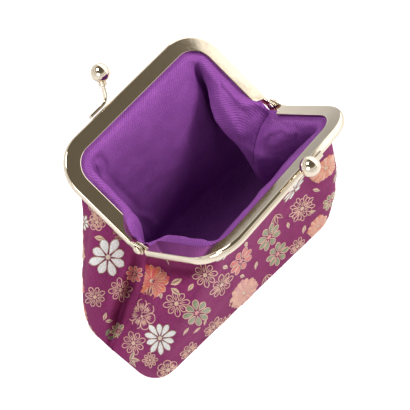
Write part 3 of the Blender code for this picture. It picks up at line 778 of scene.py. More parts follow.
def cloth_panel(name, half, lining, material):
    """One cloth panel with its thickness, and its grid of points for what lies on it."""
    points = panel_points(half, lining)
    rows, columns = points.shape[:2]
    uv = cloth_uv(points)
    faces = grid_faces(rows, columns, flip=half == "front")
    obj = mesh_piece(name, points.reshape(-1, 3) * MM, faces, material, uv.reshape(-1, 2))
    shell = obj.modifiers.new("cloth", "SOLIDIFY")
    shell.thickness = CLOTH_SHEET * MM
    shell.offset = -1.0
    return baked(obj), points


def seam_allowance(name, side, panels, material):
    """The sewn edges behind a side seam, that show between the panels when the frame closes."""
    strips = []
    for half in ("front", "back"):
        points = panels[half]
        inwards = grid_normals(points) * -shown_side(half, False)
        columns = range(ALLOWANCE_COLUMNS) if side < 0 else range(-1, -ALLOWANCE_COLUMNS - 1, -1)
        rows = slice(LIP_ROWS * FINE_ROWS, (HELD_ROWS + WALL_ROWS * 2 // 3) * FINE_ROWS, 2)
        strip = [points[rows, column] + inwards[rows, column] * ALLOWANCE_DEPTH
                 for column in columns]
        strips.append(strip[::-1] if half == "front" else strip[1:])
    grid = np.array(strips[0] + strips[1]).transpose(1, 0, 2)
    faces = grid_faces(grid.shape[0], grid.shape[1], flip=side > 0)
    uv = cloth_uv(grid).reshape(-1, 2)
    obj = mesh_piece(name, grid.reshape(-1, 3) * MM, faces, material, uv)
    shell = obj.modifiers.new("cloth", "SOLIDIFY")
    shell.thickness = ALLOWANCE_SHEET * MM
    return baked(obj)


# Thread colours of the woven flowers
WHITE = (0.93, 0.91, 0.89)
CREAM = (0.80, 0.64, 0.48)
GREEN = (0.22, 0.27, 0.12)
RED = (0.74, 0.10, 0.11)
ORANGE = (0.80, 0.22, 0.10)
PEACH = (0.86, 0.44, 0.28)
PINK = (0.74, 0.27, 0.24)
BROWN = (0.38, 0.17, 0.10)
BEIGE = (0.80, 0.55, 0.37)
GOLD = (0.90, 0.56, 0.42)
PLUM = (0.17, 0.03, 0.07)


class Pattern:
    """Collects thin raised floats in a motif's own plane, to be laid on the cloth."""

    def __init__(self):
        self.verts = []
        self.falls = []
        self.lifts = []
        self.faces = []
        self.colours = []
        self.uv = []
        self.spot = None

    def start(self, point, normal, along, size, flatter):
        """Sets the place, plane and size of the next motif, and which way it is flatter."""
        normal = Vector(normal).normalized()
        first = Vector(along) - normal * Vector(along).dot(normal)
        first.normalize()
        second = normal.cross(first)
        first = first - flatter * first.dot(flatter)
        second = second - flatter * second.dot(flatter)
        self.spot = (Vector(point), first, second, normal, size)

    def strip(self, rails, lifts, colour):
        """A sheet between rails of (x, y) points; each rail has its own lift above the cloth."""
        point, first, second, normal, size = self.spot
        base = len(self.verts)
        for rail, lift in zip(rails, lifts):
            for x, y in rail:
                flat = point + (first * x + second * y) * size
                self.verts.append(tuple((flat + normal * PROBE_HEIGHT) * MM))
                self.falls.append(tuple(-normal))
                self.lifts.append(lift * MM)
                self.uv.append((x * size * MM, y * size * MM))
        length = len(rails[0])
        for rail in range(len(rails) - 1):
            for step in range(length - 1):
                a = base + rail * length + step
                self.faces.append((a, a + 1, a + length + 1, a + length))
                self.colours.append(colour)


PROBE_HEIGHT = 24.0
LONGEST_FLOAT = 3.6
FLOAT_LIFT = 0.22
OUTLINE_LIFT = 0.26
LOW_LIFT = 0.06
LINE_WIDTH = 0.34


def petal_edge(root, tip, wide, steps, blunt, side):
    """One edge of a petal from its root to its tip, in a frame where the petal runs along +x."""
    edge = []
    power = 0.6 if blunt > 1 else 1.0
    for step in range(steps + 1):
        t = step / steps
        swell = math.sin(math.pi * t ** blunt) ** power if 0 < t < 1 else 0.0
        edge.append((mix(root, tip, t), side * wide * swell))
    return edge


def turned(points, angle, centre=(0.0, 0.0)):
    """Points in a motif's plane, turned about the origin and then moved to a centre."""
    c, s = math.cos(angle), math.sin(angle)
    return [(centre[0] + x * c - y * s, centre[1] + x * s + y * c) for x, y in points]


def filled_petal(pattern, angle, root, tip, wide, colour, blunt=1.5, centre=(0.0, 0.0)):
    """A satin petal, raised in the middle."""
    rails = []
    for share in (-1.0, -0.45, 0.45, 1.0):
        edge = petal_edge(root, tip, wide * abs(share), 8, blunt, math.copysign(1, share))
        rails.append(turned(edge, angle, centre))
    pattern.strip(rails, (LOW_LIFT, FLOAT_LIFT, FLOAT_LIFT, LOW_LIFT), colour)


def outlined_petal(pattern, angle, root, tip, wide, colour, blunt=1.5, centre=(0.0, 0.0)):
    """A petal drawn as one raised line of metal thread round its edge."""
    line = LINE_WIDTH / pattern.spot[4]
    outer = petal_edge(root, tip, wide, 10, blunt, 1)
    outer += petal_edge(root, tip, wide, 10, blunt, -1)[::-1][1:]
    middle = mix(root, tip, 0.55)
    along = max(0.1, 1 - 2 * line / (tip - root))
    across = max(0.1, 1 - line / wide)
    inner = [(middle + (x - middle) * along, y * across) for x, y in outer]
    half = [((a[0] + b[0]) / 2, (a[1] + b[1]) / 2) for a, b in zip(outer, inner)]
    rails = [turned(rail, angle, centre) for rail in (outer, half, inner)]
    pattern.strip(rails, (LOW_LIFT, OUTLINE_LIFT, LOW_LIFT), colour)


def disc(pattern, radius, colour, centre=(0.0, 0.0), lift=OUTLINE_LIFT):
    """A small round knot."""
    around = 10
    ring = [(centre[0] + radius * math.cos(2 * math.pi * i / around),
             centre[1] + radius * math.sin(2 * math.pi * i / around)) for i in range(around + 1)]
    hub = [centre] * (around + 1)
    pattern.strip([ring, hub], (LOW_LIFT, lift), colour)


def leaf(pattern, x, y, angle, length, wide, colour, vein=None):
    """A pointed leaf with a darker midrib."""
    filled_petal(pattern, angle, 0.0, length, wide, colour, 0.9, (x, y))
    if vein:
        rib = [turned(edge, angle, (x, y)) for edge in
               (petal_edge(0.08, length * 0.9, 0.045, 6, 1.0, 1),
                petal_edge(0.08, length * 0.9, 0.045, 6, 1.0, -1))]
        pattern.strip(rib, (FLOAT_LIFT + 0.05,) * 2, vein)


def white_flower(pattern, petals=8, colour=WHITE):
    """Plump filled petals round a small gold knot."""
    for index in range(petals):
        angle = 2 * math.pi * index / petals
        reach = 1.0 - 0.08 * (index % 3)
        outlined_petal(pattern, angle, 0.12, reach + 0.03, 1.95 / petals, BROWN, 1.6)
        filled_petal(pattern, angle, 0.14, reach, 1.78 / petals, colour, 1.6)
    disc(pattern, 0.13, CREAM)


def line_flower(pattern, petals=8, rings=1):
    """A flower drawn only in gold lines on the cloth."""
    for index in range(petals):
        angle = 2 * math.pi * index / petals
        reach = 1.0 - 0.1 * (index % 2)
        outlined_petal(pattern, angle, 0.2, reach, 1.75 / petals, GOLD)
        filled_petal(pattern, angle, 0.3, 0.66, LINE_WIDTH / 3 / pattern.spot[4], GOLD, 1.0)
    disc(pattern, 0.17, BEIGE)
    if rings > 1:
        for index in range(petals):
            angle = 2 * math.pi * (index + 0.5) / petals
            outlined_petal(pattern, angle, 0.45, 1.15, 0.17, GOLD)


def round_flower(pattern, petals=7):
    """Broad round petals in gold line with veins, round an orange knot."""
    for index in range(petals):
        angle = 2 * math.pi * index / petals
        outlined_petal(pattern, angle, 0.2, 1.0, 2.3 / petals, GOLD, 1.7)
        for vein in (-0.16, 0.0, 0.16):
            filled_petal(pattern, angle + vein, 0.36, 0.72, 0.03, GOLD, 1.0)
    disc(pattern, 0.2, BEIGE)


def filled_line_flower(pattern, colour, petals=8):
    """Filled petals inside gold lines."""
    for index in range(petals):
        angle = 2 * math.pi * index / petals
        reach = 1.0 - 0.08 * (index % 2)
        filled_petal(pattern, angle, 0.28, reach * 0.93, 1.25 / petals, colour)
        outlined_petal(pattern, angle, 0.2, reach, 1.8 / petals, GOLD)
    disc(pattern, 0.17, PINK)


def large_flower(pattern, colour, under, petals=11):
    """A full flower: wide back petals in one colour, narrow front petals and veins in others."""
    for index in range(petals):
        angle = 2 * math.pi * index / petals
        filled_petal(pattern, angle, 0.1, 1.0 - 0.1 * (index % 3), 0.25, under)
    for index in range(petals):
        angle = 2 * math.pi * (index + 0.5) / petals
        filled_petal(pattern, angle, 0.12, 0.9, 0.17, colour)
        filled_petal(pattern, angle, 0.2, 0.8, 0.04, BEIGE, 1.0)
        outlined_petal(pattern, angle, 0.16, 0.92, 0.19, GOLD)
    disc(pattern, 0.15, CREAM)


def leaf_pair(pattern, colour):
    """Two leaves that spread from one stem."""
    leaf(pattern, -0.2, 0.0, 2.0, 1.1, 0.26, colour, PLUM)
    leaf(pattern, 0.1, 0.0, 0.9, 1.0, 0.24, colour, PLUM)


def one_leaf(pattern, colour):
    """A single leaf through the motif's centre."""
    leaf(pattern, -0.7, 0.0, 0.0, 1.5, 0.36, colour, PLUM)


def sprig(pattern, colour):
    """Four leaves on a line."""
    for index, angle in enumerate((0.5, 1.4, 2.5, -0.6)):
        leaf(pattern, 0.12 * index - 0.2, 0.0, angle, 0.9, 0.17, colour, PLUM)


def line_leaves(pattern):
    """Three long leaves drawn in gold line, fanned out from one point."""
    for angle in (-0.6, 0.0, 0.55):
        outlined_petal(pattern, angle, 0.1, 1.5, 0.2, GOLD, 1.0, (-0.7, 0.0))


MOTIFS = {
    "white": white_flower,
    "white_wide": lambda pattern: white_flower(pattern, 10),
    "line": line_flower,
    "line_dense": lambda pattern: line_flower(pattern, 9, 2),
    "round": round_flower,
    "green": lambda pattern: filled_line_flower(pattern, GREEN),
    "red": lambda pattern: filled_line_flower(pattern, RED),
    "red_large": lambda pattern: large_flower(pattern, ORANGE, RED),
    "peach_large": lambda pattern: large_flower(pattern, PEACH, PINK),
    "orange_large": lambda pattern: large_flower(pattern, PEACH, ORANGE),
    "beige_leaf": lambda pattern: one_leaf(pattern, BEIGE),
    "brown_leaves": lambda pattern: leaf_pair(pattern, BROWN),
    "beige_leaves": lambda pattern: leaf_pair(pattern, BEIGE),
    "green_leaves": lambda pattern: leaf_pair(pattern, GREEN),
    "sprig": lambda pattern: sprig(pattern, BEIGE),
    "line_leaves": line_leaves,
}

# Motifs in the photograph: kind, pixel of the centre, radius in millimetres, turn in degrees
SEEN_MOTIFS = [
    ("white", (108, 257), 7.5, 10), ("beige_leaf", (99.5, 238), 2.7, 70),
    ("brown_leaves", (114, 236), 3.6, 20), ("line", (120.5, 290), 4.9, 0),
    ("line", (95, 297), 4.4, 20), ("red_large", (152, 281), 6.8, 0),
    ("red", (134.5, 274), 3.6, 30), ("round", (141.5, 314.5), 5.8, 15),
    ("line", (176.5, 303.5), 5.1, 5), ("green", (197, 313), 5.3, 12),
    ("beige_leaf", (161, 295), 1.8, 0), ("beige_leaves", (171, 287), 4.2, 0),
    ("white_wide", (160, 338), 6.4, 0), ("line", (133.5, 343), 4.9, 10),
    ("green", (118.5, 331), 3.5, 0), ("green_leaves", (107, 337), 3.0, 30),
    ("beige_leaves", (105, 321), 2.9, 40), ("sprig", (130, 360), 4.6, 0),
    ("round", (168, 370), 4.3, 0), ("line", (189, 351), 3.9, 0),
    ("line", (213.5, 327), 4.5, 0), ("green", (227, 321), 2.2, 0),
    ("line", (205, 275), 4.7, 10), ("beige_leaf", (191, 287), 2.2, -40),
    ("line", (221.5, 285), 4.9, 25), ("red", (241, 261), 5.3, 0),
    ("beige_leaf", (225, 267), 2.1, 60), ("beige_leaf", (256, 265), 2.1, 10),
    ("beige_leaf", (242, 276), 1.9, 70), ("green", (269, 237), 5.4, 8),
    ("green", (277.5, 254), 5.0, 20), ("beige_leaf", (246, 244), 2.0, 50),
    ("peach_large", (243.5, 293), 6.6, 10), ("line", (297.5, 246.5), 3.8, 0),
    ("line_leaves", (267, 279), 3.4, 35), ("line_leaves", (276, 219), 3.4, 35),
    ("line_dense", (302, 208.5), 4.6, 0), ("white", (294, 189), 5.4, 25),
    ("orange_large", (326, 168), 6.6, 0), ("orange_large", (318, 226), 5.0, 0),
    ("beige_leaf", (304, 229), 2.2, 0), ("green", (330, 201), 3.8, 0),
    ("beige_leaf", (316, 190), 2.0, 80), ("red_large", (334, 145), 4.0, 0),
    ("white", (85, 197), 3.4, 0), ("line", (93, 210), 4.0, 0), ("round", (97, 222), 3.4, 10),
    ("white", (84, 222), 2.7, 0), ("white", (89, 333), 2.6, 0), ("line", (150, 360), 3.2, 0),
    ("beige_leaf", (197, 330), 2.0, -60), ("beige_leaf", (186, 331), 2.0, -30),
    ("beige_leaf", (205, 322), 1.7, 10), ("beige_leaf", (288, 225), 1.8, 30),
    ("beige_leaf", (312, 212), 1.8, 120),
]

# Motifs on the sides that the photograph doesn't show: kinds in turn, radius and spacing
HIDDEN_KINDS = [("line", 5.0), ("white", 6.6), ("green", 5.2), ("round", 5.8), ("peach_large", 6.4),
                ("line_dense", 4.8), ("red", 5.0), ("beige_leaves", 3.4), ("white_wide", 6.4),
                ("line", 4.4), ("red_large", 6.4), ("sprig", 4.2)]
HIDDEN_LEAVES = [("beige_leaf", 2.4), ("line_leaves", 2.6), ("beige_leaves", 2.6)]

# How many times longer than wide a motif in the photograph may be, down a wall seen at a slant
MOTIF_STRETCH = 2.1


def cloth_trees(panels):
    """A search tree of each half's outer surface, from its grid of points."""
    trees = {}
    for half, points in panels.items():
        rows, columns = points.shape[:2]
        faces = grid_faces(rows, columns, flip=half == "front")
        trees[half] = BVHTree.FromPolygons([Vector(p) for p in points.reshape(-1, 3)], faces)
    return trees


def seen_spots(trees):
    """Where the photograph's motifs lie on the cloth: half, kind, point, the direction to look at
    them from, size, turn, and how much narrower they look one way."""
    eye, right, up, ahead = camera_axes()
    scale = LENS / SENSOR_WIDTH * IMAGE_PIXELS

    def look(x, y):
        """The nearest cloth behind a pixel: half, point and normal."""
        ray = ahead + right * (x - IMAGE_PIXELS / 2) / scale - up * (y - IMAGE_PIXELS / 2) / scale
        hits = []
        for half, tree in trees.items():
            point, normal, _, distance = tree.ray_cast(Vector(eye), Vector(ray))
            if point is not None:
                hits.append((distance, half, point, normal))
        return min(hits, key=lambda hit: hit[0])[1:] if hits else None

    spots = []
    for kind, (x, y), size, turn in SEEN_MOTIFS:
        found = look(x, y)
        if not found:
            continue
        half, point, normal = found
        reach = size * scale / CAMERA_DISTANCE
        for step in range(8):
            angle = math.pi * step / 4
            near = look(x + reach * math.cos(angle), y + reach * math.sin(angle))
            if near and near[0] == half:
                normal = normal + near[2]
        normal.normalize()
        to_eye = (Vector(eye) - point).normalized()
        facing = max(0.1, normal.dot(to_eye))
        flatter = min(1.0, facing * MOTIF_STRETCH)
        slope = (normal - to_eye * normal.dot(to_eye)).normalized()
        size *= min(1.25, flatter ** -0.5)
        spots.append((half, kind, point, to_eye, size, turn, slope * math.sqrt(1 - flatter)))
    return spots


def in_view(point, normal, trees):
    """Whether the photograph's camera sees a point of the outer cloth."""
    eye = Vector(camera_axes()[0])
    away = point - eye
    if normal.dot(away) > 0:
        return False
    hits = [tree.ray_cast(eye, away.normalized())[3] for tree in trees.values()]
    return not any(distance is not None and distance < away.length - 1.5 for distance in hits)


def hidden_spots(panels, taken, trees):
    """Evenly scattered motifs over the cloth that the photograph doesn't show, row by row."""
    spots = []
    known = [(point, size * 1.3) for _, _, point, _, size, _, _ in taken]
    count = 0
    for half, points in panels.items():
        normals = grid_normals(points) * shown_side(half, False)
        bare = [(Vector(points[row, column]), Vector(normals[row, column]))
                for row in range(HELD_ROWS * FINE_ROWS, points.shape[0] - 2, 4)
                for column in range(3, points.shape[1] - 3, 4)]
        bare = [(point, normal) for point, normal in bare if not in_view(point, normal, trees)]
        for kinds in (HIDDEN_KINDS, HIDDEN_LEAVES):
            for point, normal in bare:
                kind, size = kinds[count % len(kinds)]
                room = min([(point - other).length - reach for other, reach in known],
                           default=99.0)
                if room > size:
                    spots.append((half, kind, point, normal, size, (count * 47) % 360,
                                  Vector((0, 0, 0))))
                    known.append((point, size))
                    count += 1
    return spots


def laying_tree(material):
    """Geometry nodes that drop each point of a pattern on to a cloth, and lift it by its float."""
    tree = bpy.data.node_groups.new("lay_on_cloth", "GeometryNodeTree")
    tree.interface.new_socket("Pattern", in_out="INPUT", socket_type="NodeSocketGeometry")
    cloth = tree.interface.new_socket("Cloth", in_out="INPUT", socket_type="NodeSocketObject")
    reach = tree.interface.new_socket("Reach", in_out="INPUT", socket_type="NodeSocketFloat")
    tree.interface.new_socket("Laid", in_out="OUTPUT", socket_type="NodeSocketGeometry")
    nodes = tree.nodes
    into = nodes.new("NodeGroupInput")
    out = nodes.new("NodeGroupOutput")
    info = nodes.new("GeometryNodeObjectInfo")
    fall = nodes.new("GeometryNodeInputNamedAttribute")
    fall.data_type = "FLOAT_VECTOR"
    fall.inputs["Name"].default_value = "fall"
    lift = nodes.new("GeometryNodeInputNamedAttribute")
    lift.data_type = "FLOAT"
    lift.inputs["Name"].default_value = "lift"
    ray = nodes.new("GeometryNodeRaycast")
    raised = nodes.new("ShaderNodeVectorMath")
    raised.operation = "SCALE"
    total = nodes.new("ShaderNodeVectorMath")
    total.operation = "ADD"
    missed = nodes.new("FunctionNodeBooleanMath")
    missed.operation = "NOT"
    keep = nodes.new("GeometryNodeStoreNamedAttribute")
    keep.data_type = "BOOLEAN"
    keep.inputs["Name"].default_value = "missed"
    flag = nodes.new("GeometryNodeInputNamedAttribute")
    flag.data_type = "BOOLEAN"
    flag.inputs["Name"].default_value = "missed"
    trim = nodes.new("GeometryNodeDeleteGeometry")
    lay = nodes.new("GeometryNodeSetPosition")
    whole = nodes.new("GeometryNodeRealizeInstances")
    finish = nodes.new("GeometryNodeSetMaterial")
    finish.inputs["Material"].default_value = material
    pairs = [
        (into.outputs["Cloth"], info.inputs["Object"]),
        (info.outputs["Geometry"], ray.inputs["Target Geometry"]),
        (fall.outputs["Attribute"], ray.inputs["Ray Direction"]),
        (into.outputs["Reach"], ray.inputs["Ray Length"]),
        (ray.outputs["Is Hit"], missed.inputs[0]),
        (into.outputs["Pattern"], keep.inputs["Geometry"]),
        (missed.outputs[0], keep.inputs["Value"]),
        (keep.outputs["Geometry"], lay.inputs["Geometry"]),
        (ray.outputs["Hit Normal"], raised.inputs[0]),
        (lift.outputs["Attribute"], raised.inputs["Scale"]),
        (ray.outputs["Hit Position"], total.inputs[0]),
        (raised.outputs[0], total.inputs[1]),
        (ray.outputs["Is Hit"], lay.inputs["Selection"]),
        (total.outputs[0], lay.inputs["Position"]),
        (lay.outputs["Geometry"], trim.inputs["Geometry"]),
        (flag.outputs["Attribute"], trim.inputs["Selection"]),
        (trim.outputs["Geometry"], whole.inputs["Geometry"]),
        (whole.outputs["Geometry"], finish.inputs["Geometry"]),
        (finish.outputs["Geometry"], out.inputs[0]),
    ]
    for source, target in pairs:
        tree.links.new(source, target)
    return tree, cloth.identifier, reach.identifier


def stitch_tree(material):
    """Geometry nodes that set short stitches along a line of edges, at a named pitch."""
    tree = bpy.data.node_groups.new("stitches", "GeometryNodeTree")
    tree.interface.new_socket("Seam", in_out="INPUT", socket_type="NodeSocketGeometry")
    pitch = tree.interface.new_socket("Pitch", in_out="INPUT", socket_type="NodeSocketFloat")
    length = tree.interface.new_socket("Length", in_out="INPUT", socket_type="NodeSocketFloat")
    tree.interface.new_socket("Stitches", in_out="OUTPUT", socket_type="NodeSocketGeometry")
    nodes = tree.nodes
    into = nodes.new("NodeGroupInput")
    out = nodes.new("NodeGroupOutput")
    line = nodes.new("GeometryNodeMeshToCurve")
    spaced = nodes.new("GeometryNodeResampleCurve")
    spaced.mode = "LENGTH"
    stitch = nodes.new("GeometryNodeMeshCylinder")
    stitch.inputs["Vertices"].default_value = 8
    stitch.inputs["Radius"].default_value = STITCH_RADIUS * MM
    way = nodes.new("GeometryNodeInputTangent")
    aim = nodes.new("FunctionNodeAlignRotationToVector")
    aim.axis = "Z"
    lay = nodes.new("GeometryNodeInstanceOnPoints")
    whole = nodes.new("GeometryNodeRealizeInstances")
    finish = nodes.new("GeometryNodeSetMaterial")
    finish.inputs["Material"].default_value = material
    pairs = [
        (into.outputs["Seam"], line.inputs["Mesh"]),
        (line.outputs["Curve"], spaced.inputs["Curve"]),
        (into.outputs["Pitch"], spaced.inputs["Length"]),
        (into.outputs["Length"], stitch.inputs["Depth"]),
        (spaced.outputs["Curve"], lay.inputs["Points"]),
        (stitch.outputs["Mesh"], lay.inputs["Instance"]),
        (way.outputs["Tangent"], aim.inputs["Vector"]),
        (aim.outputs["Rotation"], lay.inputs["Rotation"]),
        (lay.outputs["Instances"], whole.inputs["Geometry"]),
        (whole.outputs["Geometry"], finish.inputs["Geometry"]),
        (finish.outputs["Geometry"], out.inputs[0]),
    ]
    for source, target in pairs:
        tree.links.new(source, target)
    return tree, pitch.identifier, length.identifier


def seam_stitches(name, points, tree_parts, material):
    """A row of stitches beside each end of a lining panel, where the two halves are sewn."""
    inwards = grid_normals(points) * shown_side("back", True)
    rows = range(LIP_ROWS * FINE_ROWS, STITCH_END_ROW * FINE_ROWS)
    verts = []
    edges = []
    for column in (STITCH_COLUMN, -1 - STITCH_COLUMN):
        for row in rows:
            if row > rows[0]:
                edges.append((len(verts) - 1, len(verts)))
            verts.append((points[row, column] + inwards[row, column] * STITCH_LIFT) * MM)
    mesh = bpy.data.meshes.new(name)
    mesh.from_pydata([tuple(v) for v in verts], edges, [])
    obj = new_object(name, mesh)
    tree, pitch_socket, length_socket = tree_parts
    sew = obj.modifiers.new("stitches", "NODES")
    sew.node_group = tree
    sew[pitch_socket] = STITCH_PITCH * MM
    sew[length_socket] = STITCH_LENGTH * MM
    baked(obj)
    obj.data.materials.clear()
    obj.data.materials.append(material)
    return obj


def woven_pattern(name, half, spots, cloth, tree_parts, material):
    """One half's motifs, laid on its cloth."""
    pattern = Pattern()
    for spot_half, kind, point, normal, size, turn, flatter in spots:
        if spot_half != half:
            continue
        down = Vector((0.0, 0.0, -1.0))
        if abs(normal.z) > 0.9:
            down = Vector((1.0, 0.0, 0.0))
        along = Matrix.Rotation(math.radians(turn), 3, normal) @ down
        pattern.start(point, normal, along, size, flatter)
        MOTIFS[kind](pattern)
    obj = mesh_piece(name, pattern.verts, pattern.faces, material, pattern.uv)
    mesh = obj.data
    fall = mesh.attributes.new("fall", "FLOAT_VECTOR", "POINT")
    fall.data.foreach_set("vector", np.array(pattern.falls, dtype=np.float32).ravel())
    lift = mesh.attributes.new("lift", "FLOAT", "POINT")
    lift.data.foreach_set("value", np.array(pattern.lifts, dtype=np.float32))
    thread = mesh.color_attributes.new("thread", "FLOAT_COLOR", "CORNER")
    colours = np.repeat(np.array([(*c, 1.0) for c in pattern.colours], dtype=np.float32), 4, axis=0)
    thread.data.foreach_set("color", colours.ravel())
    tree, cloth_socket, reach_socket = tree_parts
    lay = obj.modifiers.new("lay_on_cloth", "NODES")
    lay.node_group = tree
    lay[cloth_socket] = cloth
    lay[reach_socket] = 2 * PROBE_HEIGHT * MM
    return without_streaks(baked(obj))


def without_streaks(obj):
    """The pattern without the faces that span from one fold of the cloth to another."""
    shape = bmesh.new()
    shape.from_mesh(obj.data)
    far = [face for face in shape.faces
           if max(edge.calc_length() for edge in face.edges) > LONGEST_FLOAT * MM]
    bmesh.ops.delete(shape, geom=far, context="FACES")
    shape.to_mesh(obj.data)
    shape.free()
    return obj


# Frame
def rim_path(steps):
    """(point, inward) round the U's outer edge, from near arm end to far arm end."""
    centre_u = HALF_WIDTH - CORNER_RADIUS
    centre_v = FRAME_HEIGHT - CORNER_RADIUS
    near = [((-HALF_WIDTH, mix(CHANNEL_START, centre_v, i / 6)), (1.0, 0.0)) for i in range(6)]
    for step in range(steps + 1):
        angle = math.radians(90) * step / steps
        c, s = math.cos(angle), math.sin(angle)
        near.append(((-centre_u - CORNER_RADIUS * c, centre_v + CORNER_RADIUS * s), (c, -s)))
    return near + [((-u, v), (-du, dv)) for (u, v), (du, dv) in reversed(near)]


def channel_section():
    """(outside, depth) round the channel: a crowned spine, straight walls and rounded lips."""
    lip = CHANNEL_DEPTH
    points = []
    for step in range(17):
        angle = math.pi * step / 16
        share = (1 - math.cos(angle)) / 2
        points.append((mix(FACE + FACE_BOW, CHANNEL_BACK, share),
                       SPINE_CROWN * (1 - math.sin(angle))))
    roll = CHANNEL_WALL / 2

    def lip_round(centre, start, end):
        """The rolled edge of one wall, between two angles."""
        return [(centre + roll * math.cos(math.radians(mix(start, end, i / 4))),
                 lip - roll + roll * math.sin(math.radians(mix(start, end, i / 4))))
                for i in range(5)]

    inner_low = FACE + CHANNEL_WALL
    inner_high = CHANNEL_BACK - CHANNEL_WALL
    floor = CHANNEL_WALL + 0.45
    points += [(CHANNEL_BACK, SPINE_CROWN + 0.15), (CHANNEL_BACK, lip - roll - 0.15)]
    points += lip_round(CHANNEL_BACK - roll, 0, 180)
    points += [(inner_high, floor + 0.4), (inner_high - 0.4, floor), (inner_low + 0.4, floor),
               (inner_low, floor + 0.4)]
    points += lip_round(FACE + roll, 0, 180)
    points += [(FACE, lip - roll - 0.15), (FACE + FACE_BOW, SPINE_CROWN + 0.15)]
    return points


def frame_channel(half, material):
    """A half's channel with slanted ends, and its ears."""
    section = channel_section()
    path = rim_path(RIM_STEPS)
    verts = []
    for index, ((u, v), (du, dv)) in enumerate(path):
        slant = CHANNEL_SLANT / CHANNEL_DEPTH if index in (0, len(path) - 1) else 0.0
        for outside, depth in section:
            verts.append(place(half, u + du * depth, v + (dv + slant) * depth, outside) * MM)
    faces = tube_faces(len(path), len(section))
    channel = smoothed(outward(mesh_piece(half + "_channel_visual", verts, faces, material)), 38)
    ears = [hinge_ear(half, side, material) for side in (-1, 1)]
    return merged([channel] + ears)


def merged(objects):
    """Joins meshes that overlap or touch into the first object."""
    shape = bmesh.new()
    first = objects[0]
    for obj in objects:
        shape.from_mesh(obj.data)
    shape.to_mesh(first.data)
    shape.free()
    for obj in objects[1:]:
        bpy.data.objects.remove(obj, do_unlink=True)
    return first


def ear_span(half, side):
    """The two faces of a half's ear: the back half's near ear and the front half's far ear
    are the outer ones."""
    outer = (half == "back") == (side < 0)
    high = HALF_WIDTH - EAR_INSET - (0 if outer else EAR_THICKNESS + EAR_GAP)
    return high - EAR_THICKNESS, high


def hinge_ear(half, side, material):
    """A round ear about the hinge axis with a neck up to the channel, edges softened."""
    low, high = ear_span(half, side)
    outline = []
    for step in range(33):
        angle = math.radians(180) + math.radians(210) * step / 32
        outline.append((EAR_RADIUS * math.cos(angle), EAR_RADIUS * math.sin(angle)))
    top = ARM_START + NECK_LENGTH
    root = ARM_START - 0.3
    outline += [(CHANNEL_BACK - 0.3, root), (CHANNEL_BACK - 0.3, top), (FACE + 0.3, top),
                (FACE + 0.3, root)]
    verts = [place(half, side * u, v, outside) * MM for u in (low, high) for outside, v in outline]
    ear = outward(mesh_piece("ear", verts, tube_faces(2, len(outline)), material))
    soft = ear.modifiers.new("edge", "BEVEL")
    soft.width = 0.14 * MM
    soft.segments = 2
    soft.limit_method = "ANGLE"
    return smoothed(baked(ear), 50)


def turned_piece(name, profile, centre, axis, material, steps=48):
    """A turned piece: a profile of (radius, height) about an axis through a centre."""
    turn = Vector(axis).normalized().to_track_quat("Z", "Y").to_matrix()
    verts = []
    for radius, height in profile:
        for step in range(steps):
            angle = 2 * math.pi * step / steps
            local = Vector((radius * math.cos(angle), radius * math.sin(angle), height))
            verts.append((Vector(centre) + turn @ local) * MM)
    faces = tube_faces(len(profile), steps)
    return smoothed(outward(mesh_piece(name, verts, faces, material)), 40)


def stem_line():
    """Foot, knee and ball centre of the back clasp's stem, and the upper run's aim."""
    foot = Vector((-STRIP_END, CHANNEL_MIDDLE, FRAME_HEIGHT + STRIP_SEAT + STRIP_THICKNESS / 2))
    knee = foot + Vector(KNEE)
    ball = Vector(BALL_CENTRE)
    return foot, knee, ball, (ball - knee).normalized()


def clasp_ball(half, material):
    """A polished ball on a short neck with a collar."""
    _, knee, ball, _ = stem_line()
    centre = place_turned(half, ball)
    axis = centre - place_turned(half, knee)
    radius = BALL_DIAMETER / 2
    wide = math.asin(NECK_RADIUS / radius)
    profile = [(0.001, radius)]
    for step in range(1, 33):
        angle = (math.pi - wide) * step / 32
        profile.append((radius * math.sin(angle), radius * math.cos(angle)))
    low = -radius * math.cos(wide)
    bottom = -radius - NECK_RISE
    profile += [(NECK_RADIUS * 0.84, low - 0.25), (NECK_RADIUS * 0.84, low - 0.55),
                (NECK_RADIUS, low - 0.75), (NECK_RADIUS, bottom + 0.2),
                (NECK_RADIUS - 0.2, bottom), (0.001, bottom)]
    return turned_piece(half + "_ball_visual", profile, centre, axis, material)


def clasp_post(half, material):
    """The bent strip under the ball: two rounded ridges with a groove between them."""
    foot, knee, ball, aim = stem_line()
    tail = Vector((-STRIP_START, foot.y, foot.z))
    tip = ball - aim * (BALL_DIAMETER / 2 + NECK_RISE - 1.0)
    bend_in = foot - Vector((1.4, 0, 0))
    bend_out = knee + aim * 1.4
    crown = foot + Vector((1.0, 0, 0))
    path = [tail, mix(tail, bend_in, 0.5)]
    for step in range(13):
        share = step / 12
        path.append(mix(mix(bend_in, crown, share), mix(crown, bend_out, share), share))
    path += [mix(bend_out, tip, 0.5), tip]
    width = STRIP_WIDTH / 2
    height = STRIP_THICKNESS / 2
    section = []
    for step in range(24):
        angle = 2 * math.pi * step / 24
        c, s = math.cos(angle), math.sin(angle)
        x = width * math.copysign(abs(c) ** 0.5, c)
        y = height * math.copysign(abs(s) ** 0.6, s)
        y *= 1 - 0.3 * math.exp(-(x / (width * 0.22)) ** 2)
        section.append((x, y))
    verts = []
    for index, point in enumerate(path):
        ahead = path[min(index + 1, len(path) - 1)] - path[max(index - 1, 0)]
        ahead.normalize()
        across = ahead.cross(Vector((0, -1, 0))).cross(ahead).normalized()
        rise = across.cross(ahead)
        for x, y in section:
            verts.append(place_turned(half, point + across * x + rise * y) * MM)
    faces = tube_faces(len(path), len(section))
    return smoothed(outward(mesh_piece(half + "_post_visual", verts, faces, material)), 50)


